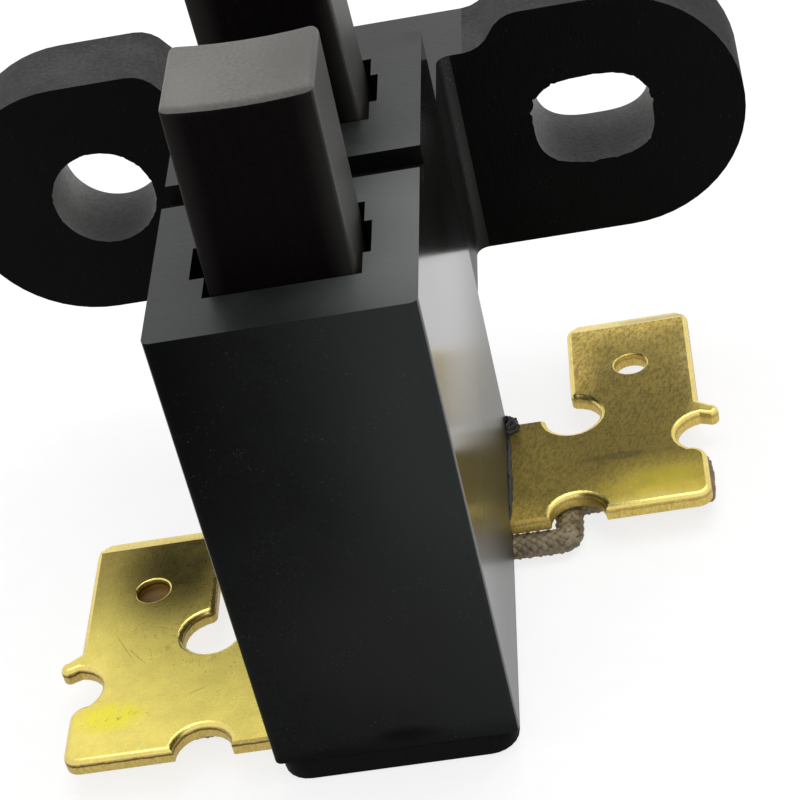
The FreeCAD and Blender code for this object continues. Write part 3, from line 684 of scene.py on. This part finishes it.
# Painted light: the front face is lighter along its left, right and top edges, as if the bright tip and
# surround spilled over them.
edge_light_left = ((-3.3, -20, 16), (1.5, 40, 13), (0.046, 0.041, 0.039), 0.85)
edge_light_right = ((3.7, -20, 11), (1.9, 40, 13), (0.058, 0.058, 0.052), 0.85)
edge_light_top = ((0, -20, 18.0), (9, 40, 1.2), (0.050, 0.046, 0.044), 0.8)
# The front face is a much darker copy of the carbon: painted shade.
brush_front_shaded = graphite("carbon_front_painted_shade_and_light", (0.0036, 0.0027, 0.0029), (0.0072, 0.0052, 0.0054),
                       0.5, 0.0, 0.02, 0.35, [edge_light_left, edge_light_right, edge_light_top])
brush_side = graphite("carbon_side", (0.026, 0.025, 0.022), (0.052, 0.050, 0.044),
                      0.45, 0.0, 0.45, 0.35)
brush_tip = graphite("carbon_tip", (0.128, 0.122, 0.113), (0.178, 0.170, 0.157), 0.5, 0.2, 0.4, 0.2, [
    ((-2.6, -27, 17), (3.0, 3.5, 3), (0.205, 0.197, 0.181), 0.6),
    ((3.2, -25, 17), (3.6, 5, 3), (0.088, 0.084, 0.077), 0.7)])
# The rounded corner faces are lighter with little sheen: painted light.
brush_edge_light = graphite("carbon_edge_painted_light", (0.050, 0.049, 0.043), (0.066, 0.065, 0.057), 0.6, 0.0, 0.03)
plug_finish = graphite("copper_powder", (0.25, 0.10, 0.05), (0.55, 0.26, 0.14), 0.55, 0.7, 0.4, 0.0)
print("graphite finishes made")


# %% Brush blocks
SHIFT = {"front": 0.0, "rear": -0.08}
LEAN = {"front": 0.9, "rear": -1.0}
BRUSH_LOW, BRUSH_HIGH, BRUSH_HALF, BRUSH_DEPTH = -0.5, 17.5, 3.0, 5.0
TIP_RADIUS, LEAN_HEIGHT, SETTLED = 24.0, 8.5, 0.05
BRUSH_FINISHES = [brush_front_shaded, brush_side, brush_tip, brush_edge_light]


def make_brush(which):
    """A block traced in front view with its hollow tip, softened, and leaning a little."""
    lift = math.sqrt(TIP_RADIUS ** 2 - BRUSH_HALF ** 2)
    sweep = 2 * math.degrees(math.asin(BRUSH_HALF / TIP_RADIUS))
    shape = bmesh.new()
    trace(shape, (-BRUSH_HALF, BRUSH_LOW), [
        (BRUSH_HALF, BRUSH_LOW), (BRUSH_HALF, BRUSH_HIGH), (0, BRUSH_HIGH + lift, -sweep),
        (-BRUSH_HALF, BRUSH_LOW)])
    raise_plate(shape, BRUSH_DEPTH)
    stand_up(shape)
    bmesh.ops.translate(shape, verts=shape.verts[:], vec=(0, BRUSH_Y[which] + BRUSH_DEPTH / 2, 0))
    bmesh.ops.dissolve_limit(shape, angle_limit=0.01, verts=shape.verts[:], edges=shape.edges[:])
    soften(shape, 0.36, 5, 40, material=BRUSH_FINISHES.index(brush_edge_light))
    shape.normal_update()
    for face in shape.faces:
        way = face.normal
        if way.z > 0.4:
            face.material_index = BRUSH_FINISHES.index(brush_tip)
        elif way.y < -0.8 or (way.y < -0.2 and way.x < 0.2):
            face.material_index = BRUSH_FINISHES.index(brush_front_shaded)
        elif abs(way.x) > 0.8 or way.y > 0.8 or way.z < -0.8:
            face.material_index = BRUSH_FINISHES.index(brush_side)
    bmesh.ops.rotate(shape, verts=shape.verts[:], cent=(0, 0, LEAN_HEIGHT),
                     matrix=Matrix.Rotation(math.radians(LEAN[which]), 3, "Y"))
    bmesh.ops.translate(shape, verts=shape.verts[:], vec=(SHIFT[which], 0, -SETTLED))
    place_piece("%s_carbon" % which, shape, "%s_brush_body" % which, "%s_brush" % which,
                BRUSH_FINISHES)


for which in BRUSH_Y:
    make_brush(which)


# %% Tamped plug at each brush's lower end
def make_plug(which):
    """A short round rod with rounded rims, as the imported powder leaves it."""
    radius, length, height = 1.08, 3.96, 1.5
    shape = bmesh.new()
    bmesh.ops.create_cone(shape, cap_ends=True, segments=32, radius1=radius, radius2=radius,
                          depth=length, matrix=Matrix.Translation((0, BRUSH_Y[which], height)))
    soften(shape, 0.15, 3, 40)
    place_piece("%s_plug" % which, shape, "%s_brush_body" % which, "%s_brush_plug" % which,
                [plug_finish])


for which in BRUSH_Y:
    make_plug(which)

# %% [markdown]
# ## Brass terminals
# Each terminal is stamped from sheet: a root in the body, a foot over the braid and a tab with a hole and
# a bevelled end. The punch rolls the upper edges over, and these edges and the bevelled end carry a
# painted highlight. The plates' lighter and darker zones are painted reflections, and their fine dark
# mottling is partly tarnish and partly painted reflection. The outline is traced once for the right-hand
# plate and mirrored for the left, so both stay alike.


# %% Brass finishes
PLATE_TOP = SEAM + SHEET
# Colour of the fine dark mottling: partly tarnish, partly painted dark reflection of the rippled sheet.
TARNISH_AND_DARK_REFLECTION = (0.10, 0.078, 0.020)
SCRATCHED = (0.16, 0.115, 0.03)
TEAR_LINE = 13.78


def on_plate(x, y, across, along):
    """An ellipse on the plates' upper face: its centre and its reach."""
    return (x, y, PLATE_TOP), (across, along, 3)


def brass(name, base, zones, mottle, rough, metal=1.0, marks=(), scratches=(), busy=()):
    """Stamped brass: zones of tone that are painted reflections, fine dark mottling that is partly
    tarnish and partly painted reflection, ripples, marks and scratches.
    """
    finish, tree, shader, where = start_finish(name, 0.3, metal, 0.5)
    cloud = speckle(tree, where, 1.3, 5, 0.6)
    grain = speckle(tree, where, 0.12, 5, 0.75)
    ripple = speckle(tree, where, 0.34, 3, 0.55, (2.4, 0.9, 1), (0, 0, math.radians(-14)))
    ragged = spread(tree, cloud, 0.28, 0.6, 0.65, 1)
    colour = tint(tree, spread(tree, cloud, 0.3, 0.7), tuple(0.88 * v for v in base), base)
    colour = add_zones(tree, where, colour, zones, ragged)
    share = calc(tree, "ADD", calc(tree, "MULTIPLY", grain, 0.55), calc(tree, "MULTIPLY", ripple, 0.45))
    strength = mottle
    for centre, reach, more in busy:
        strength = calc(tree, "ADD", strength,
                        calc(tree, "MULTIPLY", patch(tree, where, centre, reach, 0.85), more))
    # The dark mottling is partly tarnish and partly painted reflection.
    dull = calc(tree, "MULTIPLY", spread(tree, share, 0.38, 0.59, 1, 0), strength)
    colour = tint(tree, dull, colour, TARNISH_AND_DARK_REFLECTION)
    for centre, reach, level, shade, strength in marks:
        spot = patch(tree, where, centre, reach, 0.7)
        broken = spread(tree, speckle(tree, where, 0.5, 4, 0.7), level, level + 0.12)
        colour = tint(tree, calc(tree, "MULTIPLY", calc(tree, "MULTIPLY", spot, broken), strength),
                      colour, shade)
    for x, y, length, turned in scratches:
        line = patch(tree, where, (x, y, PLATE_TOP), (length / 2, 0.03, 2), 0.6, turned)
        colour = tint(tree, calc(tree, "MULTIPLY", line, 0.55), colour, SCRATCHED)
    tree.links.new(colour, shader.inputs["Base Color"])
    tree.links.new(spread(tree, share, 0.35, 0.65, rough + 0.1, rough), shader.inputs["Roughness"])
    emboss(tree, shader, share, 0.009)
    return finish


def cut_edge(name, dark, light, torn):
    """The sheared edge: fine streaks down the sheet and a dark line where the metal tore."""
    finish, tree, shader, where = start_finish(name, 0.42, 0.9, 0.5)
    streaks = speckle(tree, where, 0.13, 4, 0.65, (1.3, 1.3, 0.6))
    colour = tint(tree, spread(tree, streaks, 0.3, 0.7), dark, light)
    level = axis_value(tree, where, "Z")
    uneven = speckle(tree, where, 0.6, 4, 0.7)
    wander = calc(tree, "MULTIPLY", calc(tree, "SUBTRACT", uneven, 0.5), 0.22)
    away = calc(tree, "ABSOLUTE", calc(tree, "ADD", calc(tree, "ADD", level, TEAR_LINE), wander), 0)
    line = spread(tree, away, 0.02, 0.1, torn, 0)
    tree.links.new(tint(tree, line, colour, (0.09, 0.05, 0.012)), shader.inputs["Base Color"])
    emboss(tree, shader, streaks, 0.02)
    return finish


# The olive zones over the tab, around its hole and along its edges are painted dark reflection on the
# bright base; the yellow mark is a stain, and the lines are scratches.
left_brass = brass("brass_left", (0.89, 0.745, 0.18), [
    (*on_plate(-12, -14.3, 9, 9.0), (0.42, 0.33, 0.075), 1.0),
    (*on_plate(-10.8, -17.6, 3.6, 4.6), (0.125, 0.10, 0.024), 0.95),
    (*on_plate(-15.3, -17, 1.6, 6), (0.42, 0.33, 0.085), 0.8),
    (*on_plate(-8.7, -18.5, 0.9, 4), (0.42, 0.33, 0.09), 0.8)], 0.1, 0.26, 1.0,
    [(*on_plate(-13.2, -27.3, 2.3, 1.3), 0.36, (0.84, 0.76, 0.05), 0.85),
     (*on_plate(-12.9, -27.6, 2.2, 0.8), 0.54, (0.26, 0.18, 0.035), 0.8)],
    [(-13.0, -22.6, 3.2, 118), (-12.3, -23.4, 2.0, 128), (-9.7, -19.2, 1.4, 40), (-10.2, -18.3, 1.0, 25),
     (-9.2, -26.3, 1.5, 25), (-11.2, -21.6, 0.9, 150), (-14.2, -24.5, 0.8, 100)],
    [(*on_plate(-11, -17.6, 4.5, 5), 0.5)])
# The lighter gold zones along the tab's edges and end, on the strip and the foot and in a band along the
# foot's front edge are painted highlights and reflections on a darker base; the yellow-green mark is a
# stain, and the lines are scratches.
right_brass = brass("brass_right", (0.40, 0.30, 0.062), [
    (*on_plate(8.8, -6, 1.9, 5.5), (0.88, 0.64, 0.15), 1.0),
    (*on_plate(11.5, -2.4, 6, 2.7), (0.72, 0.53, 0.13), 1.0),
    (*on_plate(6.2, -14, 4.5, 4.5), (0.54, 0.405, 0.085), 0.7),
    (*on_plate(15.6, -10.8, 1.5, 1.6), (0.86, 0.66, 0.17), 1.0),
    (*on_plate(15.3, -6.5, 1.3, 5), (0.60, 0.46, 0.17), 0.8),
    (*on_plate(13.0, -17.0, 5.4, 3.6), (0.92, 0.72, 0.11), 1.0),
    (*on_plate(12.2, -17.55, 4.8, 0.9), (1.0, 0.86, 0.26), 1.0),
    (*on_plate(5.8, -17.4, 2.8, 2.0), (0.72, 0.53, 0.11), 1.0)], 0.6, 0.42, 0.75,
    [(*on_plate(13.0, -15.8, 2.1, 1.1), 0.30, (0.60, 0.52, 0.04), 0.6),
     (*on_plate(10.8, -13.7, 2.6, 0.4), 0.30, (0.14, 0.105, 0.03), 0.6)],
    [(7.0, -13.6, 0.9, 75), (6.5, -12.4, 0.7, 60), (7.6, -12.0, 0.5, 120), (13.6, -12.3, 2.6, 12)],
    [(*on_plate(13, -16.6, 5, 3.4), -0.5), (*on_plate(15.8, -10.8, 1.6, 1.6), -0.5)])
# The rolled edges and the tab's bevelled end get a lighter brass: a painted highlight.
rolled_edge_highlight = brass("brass_rolled_edge_painted_highlight", (0.90, 0.72, 0.22), [], 0.12, 0.22)
left_cut = cut_edge("brass_cut_left", (0.44, 0.32, 0.08), (0.62, 0.48, 0.15), 0.9)
right_cut = cut_edge("brass_cut_right", (0.52, 0.38, 0.09), (0.74, 0.57, 0.17), 0.35)
# A brown disc for the left tab's hole: painted shade, standing in for the dark seen through the hole.
hole_shade_disc = phenolic("hole_painted_shade", (0.10, 0.052, 0.012), (0.24, 0.14, 0.04), 0.35, 0.5, relief=0.02)
print("brass finishes made")


# %% Outline of a terminal
def arc_turn(start, end, radius, way):
    """The centre of an arc of that radius between two points and its turn; way 1 is anticlockwise."""
    start, end = Vector(start), Vector(end)
    chord = end - start
    rise = math.sqrt(max(radius ** 2 - (chord.length / 2) ** 2, 0))
    side = Vector((-chord.y, chord.x)).normalized()
    centre = (start + end) / 2 + side * rise * way
    a, b = start - centre, end - centre
    angle = math.degrees(math.atan2(a.x * b.y - a.y * b.x, a.dot(b)))
    if angle * way < 0:
        angle += 360 * way
    return (centre.x, centre.y, angle)


TAB_INNER, TAB_OUTER = 8.8, 15.1
BEVEL_START, TAB_END = 14.6, 15.35
HOLE, TAB_HOLE_RADIUS = Vector((11.95, 11.2)), 0.83
TERMINAL = [
    (ROOT_X, 0), (7.4, 0, 1.35, -1), (10.1, 0), (14.5, 0, 0.7, 1), (15.2, 0.7), (15.2, 2.95, 0.85, 1),
    (14.35, 3.8, 1.45, -1), (TAB_OUTER, 6.35), (15.65, 6.12, 0.42, 1), (15.68, 6.95),
    (TAB_OUTER, 7.38), (TAB_OUTER, BEVEL_START), (14.5, TAB_END), (9.4, TAB_END),
    (TAB_INNER, BEVEL_START), (TAB_INNER, 9.4, 0.35, 1), (9.15, 9.05), (9.3, 9.0, 1.42, -1),
    (9.72, 6.58, 1.35, -1), (7.45, ROOT_LENGTH), (ROOT_X, ROOT_LENGTH)]


def terminal_moves():
    """Turns the corners into moves; a corner with a radius and a way starts an arc to the next."""
    moves = []
    for corner, following in zip(TERMINAL, TERMINAL[1:] + TERMINAL[:1]):
        if len(corner) == 4:
            moves.append(arc_turn(corner[:2], following[:2], corner[2], corner[3]))
        else:
            moves.append(following[:2])
    return moves


print("terminal outline has", len(TERMINAL), "corners, blade", round(TAB_OUTER - TAB_INNER, 2), "mm wide")


# %% Stamp the terminals
def make_terminal(which, side, finish, cut_finish, shade_disc=False):
    """Traces the right-hand outline, raises it, mirrors it for the left and bevels the tab."""
    finishes = [finish, rolled_edge_highlight, cut_finish, hole_shade_disc]
    rolled, cut, shade_slot = 1, 2, 3
    bevel_drop, bevel_reach = 0.2, TAB_END - BEVEL_START
    shape = bmesh.new()
    trace(shape, TERMINAL[0][:2], terminal_moves())
    add_ring(shape, HOLE.x, HOLE.y, TAB_HOLE_RADIUS, 36)
    raise_plate(shape, SHEET)
    for level, way in ((SHEET, 1), (0.0, -1)):
        bmesh.ops.bisect_plane(shape, geom=shape.verts[:] + shape.edges[:] + shape.faces[:], dist=1e-4,
                               plane_co=(0, BEVEL_START, level),
                               plane_no=(0, bevel_drop, bevel_reach * way), clear_outer=True)
        rim = [edge for edge in shape.edges if edge.is_boundary]
        bmesh.ops.contextual_create(shape, geom=rim)
    bmesh.ops.dissolve_limit(shape, angle_limit=0.01, verts=shape.verts[:], edges=shape.edges[:])
    # The rolled upper edges and the hole's rim get the painted highlight.
    soften(shape, 0.25, 4, 50,
           lambda spot: spot.z > 0.7 and spot.x > 5.6 and (spot.xy - HOLE).length > 1.2, rolled)
    soften(shape, 0.08, 3, 50, lambda spot: spot.z > 0.7 and (spot.xy - HOLE).length < 1.2, rolled)
    soften(shape, 0.05, 1, 50, lambda spot: spot.z < 0.1 and spot.x > 5.6, cut)
    shape.normal_update()
    for face in shape.faces:
        if abs(face.normal.z) < 0.3:
            face.material_index = cut
        elif face.calc_center_median().y > BEVEL_START and face.normal.z > 0:
            face.material_index = rolled
    # A brown disc inside the hole is painted shade.
    if shade_disc:
        radius, depth, height = TAB_HOLE_RADIUS + 0.01, 0.1, 0.2
        made = bmesh.ops.create_cone(shape, cap_ends=True, segments=36, radius1=radius, radius2=radius,
                                     depth=depth, matrix=Matrix.Translation((HOLE.x, HOLE.y, height)))
        for face in {face for vert in made["verts"] for face in vert.link_faces}:
            face.material_index = shade_slot
    if side < 0:
        bmesh.ops.scale(shape, vec=(-1, 1, 1), verts=shape.verts[:])
        bmesh.ops.reverse_faces(shape, faces=shape.faces[:])
    bmesh.ops.translate(shape, verts=shape.verts[:], vec=(0, TERMINAL_FRONT[which], SEAM))
    place_piece("%s_tab" % which, shape, "holder", "%s_terminal" % which, finishes, 30)


make_terminal("left", -1, left_brass, left_cut, shade_disc=True)
make_terminal("right", 1, right_brass, right_cut)

# %% [markdown]
# ## Braids
# Each braid is woven from fine copper wires. Its route is a short smooth curve from the channel
# through the cover's slot to the weld under the foot, and the strands are wound along it. A tube
# with a bump pattern would look printed from close by, so the strands are real and cross over.


# %% Braid finish
def braid_metal(name, dark, light, metal):
    """Dull tinned copper with dirt between the wires."""
    finish, tree, shader, where = start_finish(name, 0.5, metal, 0.5)
    wires = speckle(tree, where, 0.05, 4, 0.7)
    dirt = speckle(tree, where, 0.8, 3, 0.6)
    share = calc(tree, "ADD", calc(tree, "MULTIPLY", wires, 0.35), calc(tree, "MULTIPLY", dirt, 0.65))
    tree.links.new(tint(tree, spread(tree, share, 0.28, 0.56), dark, light), shader.inputs["Base Color"])
    emboss(tree, shader, wires, 0.02)
    return finish


braid_finish = braid_metal("tinned_braid", (0.12, 0.088, 0.045), (0.37, 0.305, 0.19), 0.2)
braid_end = braid_metal("copper_cut", (0.07, 0.040, 0.020), (0.27, 0.175, 0.09), 0.3)
resin_finish = phenolic("resin", (0.004, 0.004, 0.005), (0.016, 0.015, 0.015), 0.3, 0.5, relief=0.06)
spring_finish = graphite("spring_steel", (0.30, 0.30, 0.31), (0.55, 0.56, 0.58), 0.3, 1.0, 0.5, 0.4)
print("braid, resin and spring finishes made")


# %% Route of a braid as a smooth curve
def read_route(points):
    """The evaluated points of a smooth curve through the control points, in millimetres."""
    curve = bpy.data.curves.new("route", "CURVE")
    curve.dimensions = "3D"
    line = curve.splines.new("NURBS")
    line.points.add(len(points) - 1)
    for spot, place in zip(line.points, points):
        spot.co = (*place, 1)
    line.order_u = 3
    line.use_endpoint_u = True
    line.resolution_u = 10
    carrier = bpy.data.objects.new("route", curve)
    bpy.context.collection.objects.link(carrier)
    view = bpy.context.evaluated_depsgraph_get()
    mesh = bpy.data.meshes.new_from_object(carrier.evaluated_get(view))
    spots = [vertex.co.copy() for vertex in mesh.vertices]
    bpy.data.objects.remove(carrier)
    bpy.data.meshes.remove(mesh)
    return spots


def frames_along(spots, spacing, start):
    """Even stations along a line, each with its direction and two directions across."""
    stations, left_over, across = [], 0.0, Vector(start)
    for here, after in zip(spots, spots[1:]):
        step = after - here
        if step.length < 1e-6:
            continue
        ahead = step.normalized()
        across = (across - ahead * across.dot(ahead)).normalized()
        reach = left_over
        while reach < step.length:
            stations.append((here + ahead * reach, ahead, across, ahead.cross(across)))
            reach += spacing
        left_over = reach - step.length
    return stations


STRANDS, STRAND_RISE, WEAVE = 8, 0.085, 0.055


def wind_strands(shape, stations, radius, pitch, spacing, breadth, flat):
    """Winds flat strands both ways round a plain core; they pass over and under each other."""
    for way in (1, -1):
        for strand in range(STRANDS):
            rings = []
            for number, (middle, ahead, over, beside) in enumerate(stations):
                travel = number * spacing
                swing = 2 * math.pi * (strand / STRANDS + way * travel / pitch)
                weave = math.cos(STRANDS * way * swing) * WEAVE * way
                squeeze, widen = flat(travel)
                out = over * math.cos(swing) * squeeze + beside * math.sin(swing) * widen
                centre = middle + out * (radius - 0.1 + weave)
                slant = ahead * way + (beside * math.cos(swing) - over * math.sin(swing)) * 0.9
                slant.normalize()
                outward = out.normalized()
                edge = outward.cross(slant).normalized()
                corners = [centre + edge * breadth, centre + outward * STRAND_RISE,
                           centre - edge * breadth, centre - outward * STRAND_RISE]
                rings.append([shape.verts.new(corner) for corner in corners])
            join_rings(shape, rings)
    core = []
    for number, (middle, ahead, over, beside) in enumerate(stations):
        squeeze, widen = flat(number * spacing)
        turns = [2 * math.pi * side / 12 for side in range(12)]
        core.append([shape.verts.new(middle + (over * math.cos(turn) * squeeze
                                               + beside * math.sin(turn) * widen) * (radius - 0.17))
                     for turn in turns])
    join_rings(shape, core)


def join_rings(shape, rings):
    """Bridges rings of points in a row and closes both ends."""
    sides = len(rings[0])
    for ring, after in zip(rings, rings[1:]):
        for side in range(sides):
            shape.faces.new((ring[side], ring[(side + 1) % sides], after[(side + 1) % sides],
                             after[side]))
    shape.faces.new(rings[0][::-1])
    shape.faces.new(rings[-1])


# %% Outer braids, from the channel to the weld
PRESSED_LENGTH, PRESSED_RAMP = 4.6, 1.2
LUMP_HALVES, LUMP_SQUARENESS, LUMP_DROP = Vector((0.7, 1.55, 0.42)), 0.45, 0.32


def make_outer_braid(which, side, points, cut_end):
    """A flat strap along its route, pressed wide under the foot and cut off at its edge."""
    spots = read_route([(side * x, y, z) for x, y, z in points])
    spacing = 0.11
    stations = frames_along(spots, spacing, (side, 0, 0))
    total = len(stations) * spacing

    def flat(travel):
        pressed = min(max((travel - (total - PRESSED_LENGTH)) / PRESSED_RAMP, 0), 1)
        return (0.95 - 0.42 * pressed, 1.2 + 0.9 * pressed)

    shape = bmesh.new()
    wind_strands(shape, stations, 0.58, 4.0, spacing, 0.17, flat)
    woven = len(shape.faces)
    weld = points[-1][1]
    lump = bmesh.ops.create_icosphere(shape, subdivisions=5, radius=1)["verts"]
    lump_middle = Vector((side * (cut_end - LUMP_HALVES.x), weld, SEAM - LUMP_DROP))
    for vertex in lump:
        boxed = Vector([math.copysign(abs(v) ** LUMP_SQUARENESS, v) for v in vertex.co])
        spot = lump_middle + boxed * LUMP_HALVES
        shift = noise.noise(spot * 2.2) * 0.08 + noise.noise(spot * 9) * 0.05
        vertex.co = spot + Vector((side * (shift - 0.05), shift, 0))
    bmesh.ops.recalc_face_normals(shape, faces=shape.faces[:])
    shape.faces.ensure_lookup_table()
    for number, face in enumerate(shape.faces):
        if number >= woven or abs(face.calc_center_median().x) > cut_end - 0.4:
            face.material_index = 1
    print(which, "braid length", round(total, 1))
    place_piece("%s_braid" % which, shape, "holder", "%s_braid_outer" % which,
                [braid_finish, braid_end], 60)


BRAID_JOINT = -13.1
RUN_LOW, WELD_LOW = SEAM - 0.62, SEAM - 0.38
LEFT_WELD_Y, RIGHT_WELD_Y = -27.15, -15.1


def leave_channel(middle):
    """The first stretch of a route: down the channel and outwards through the cover's slot."""
    return [(0, middle, BRAID_JOINT), (0, middle, RUN_LOW + 0.2), (1.0, middle, RUN_LOW),
            (4.25, middle, RUN_LOW)]


def reach_weld(weld, end):
    """The last stretch, pressed against the foot's lower face."""
    return [(12.4, weld, SEAM - 0.42), (14.0, weld, WELD_LOW), (end, weld, WELD_LOW)]


left_route = leave_channel(BRUSH_Y["front"]) + [
    (4.25, -27.0, RUN_LOW), (6.5, -27.1, RUN_LOW), (11.2, -27.1, RUN_LOW)]
right_route = leave_channel(BRUSH_Y["rear"]) + [
    (4.25, -15.8, RUN_LOW), (4.25, -17.7, RUN_LOW), (6.0, -17.75, RUN_LOW), (7.9, -17.8, RUN_LOW),
    (8.2, -17.6, RUN_LOW), (8.2, -15.4, RUN_LOW), (8.9, -15.1, RUN_LOW), (11.2, -15.1, RUN_LOW)]
make_outer_braid("front", -1, left_route + reach_weld(LEFT_WELD_Y, 15.0), 15.05)
make_outer_braid("rear", 1, right_route + reach_weld(RIGHT_WELD_Y, 15.35), 15.42)

# %% [markdown]
# ## Springs and inner braids
# Inside each channel a wire spring pushes the brush up and the braid runs through it. Both shorten when
# the brush is pushed in. The coil is one ring of points, spun and raised, because a spin with a rise
# draws a helix at once.


# %% Springs
TURN = 2 * math.pi


def make_spring(which):
    """A wire ring spun into a helix, with a closed turn at each end."""
    wire, coil = 0.25, 1.95
    low, high = SEAM, BRUSH_LOW
    shape = bmesh.new()
    ring = bmesh.ops.create_circle(shape, segments=12, radius=wire, cap_ends=False)["verts"]
    bmesh.ops.rotate(shape, verts=ring, cent=(0, 0, 0), matrix=Matrix.Rotation(math.pi / 2, 3, "X"))
    bmesh.ops.translate(shape, verts=ring, vec=(coil, 0, low + wire))
    edges = shape.edges[:]
    closed = 0.55
    middle_rise = high - low - 2 * wire - 2 * closed
    for turns, rise in ((1, closed), (6, middle_rise), (1, closed)):
        steps = 32 * turns
        spun = bmesh.ops.spin(shape, geom=edges, cent=(0, 0, 0), axis=(0, 0, 1), angle=TURN * turns,
                              steps=steps, dvec=(0, 0, rise / steps), use_merge=False)
        edges = [part for part in spun["geom_last"] if isinstance(part, bmesh.types.BMEdge)]
    bmesh.ops.holes_fill(shape, edges=[edge for edge in shape.edges if edge.is_boundary], sides=20)
    bmesh.ops.recalc_face_normals(shape, faces=shape.faces[:])
    bmesh.ops.translate(shape, verts=shape.verts[:], vec=(0, BRUSH_Y[which], 0))
    piece = place_piece("%s_coil" % which, shape, "holder", "%s_spring" % which,
                        [spring_finish], 50)
    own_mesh(piece)


for which in BRUSH_Y:
    make_spring(which)


# %% Inner braids
def make_inner_braid(which):
    """A straight round braid from the cover to just under the brush."""
    spacing = 0.16
    low, high = BRAID_JOINT, BRUSH_LOW - 0.45
    spots = [Vector((0, BRUSH_Y[which], low)), Vector((0, BRUSH_Y[which], high))]
    stations = frames_along(spots, spacing, (1, 0, 0))
    shape = bmesh.new()
    wind_strands(shape, stations, 0.54, 4.2, spacing, 0.19, lambda travel: (1, 1))
    bmesh.ops.recalc_face_normals(shape, faces=shape.faces[:])
    piece = place_piece("%s_braid_core" % which, shape, "holder", "%s_braid_inner" % which,
                        [braid_finish], 60)
    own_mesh(piece)


for which in BRUSH_Y:
    make_inner_braid(which)

# %% [markdown]
# ## Resin beads
# A run of black resin seals each terminal to the wall. It is lumpy, with a drop at the rear. A
# stretched ball gives each form, and noise swells and shrinks it as a drop does when it sets.


# %% Resin beads
def make_bead(which, side):
    """A thin ragged line along the wall and a small lumpy drop at its rear end."""
    wall, front = side * (HALF + 0.02), TERMINAL_FRONT[which]
    shape = bmesh.new()
    for length, radius, middle in ((7.3, 0.17, front + ROOT_LENGTH / 2), (1.25, 0.62, front + 7.3)):
        place = Matrix.Translation((wall, middle, PLATE_TOP)) @ Matrix.Diagonal(
            (radius, length / 2, radius, 1))
        bmesh.ops.create_icosphere(shape, subdivisions=5, radius=1, matrix=place)
    for vertex in shape.verts:
        swell = 1 + 0.45 * noise.noise(vertex.co * 1.9) + 0.35 * noise.noise(vertex.co * 6.0)
        vertex.co.x = wall + (vertex.co.x - wall) * swell
        vertex.co.z = PLATE_TOP + (vertex.co.z - PLATE_TOP) * swell
    place_piece("%s_resin" % which, shape, "holder", "%s_resin_bead" % which,
                [resin_finish], 80)


make_bead("left", -1)
make_bead("right", 1)

# %% [markdown]
# ## Floor
# A pale plain floor carries the holder. It shows white to the camera and to reflections, and
# keeps a soft shadow because a part of its brightness comes from the lamps. A purely glowing
# floor would lose the shadow, and a purely painted one would turn grey away from the lamp.

# %% Floor
FLOOR_Z, FLOOR_HALF, GLOW = -15.56, 1500, 0.78
floor_shape = bmesh.new()
bmesh.ops.create_grid(floor_shape, x_segments=1, y_segments=1, size=FLOOR_HALF * MM,
                      matrix=Matrix.Translation((0, 0, FLOOR_Z * MM)))
floor = to_object("studio_floor", floor_shape)
paper, tree, shader, where = start_finish("paper_floor", 0.9, 0.0, 0.1)
fibre = speckle(tree, where, 0.8, 3, 0.6)
tree.links.new(tint(tree, spread(tree, fibre, 0.3, 0.7), (0.30, 0.30, 0.30), (0.32, 0.32, 0.32)),
               shader.inputs["Base Color"])
rays = tree.nodes.new("ShaderNodeLightPath")
shown = calc(tree, "MAXIMUM", rays.outputs["Is Camera Ray"], rays.outputs["Is Glossy Ray"])
shown = calc(tree, "MAXIMUM", shown, rays.outputs["Is Transmission Ray"])
tree.links.new(calc(tree, "MULTIPLY", shown, GLOW), shader.inputs["Emission Strength"])
shader.inputs["Emission Color"].default_value = (1, 1, 1, 1)
floor.data.materials.append(paper)
print("floor at", round(floor.data.vertices[0].co.z / MM, 2), "mm")
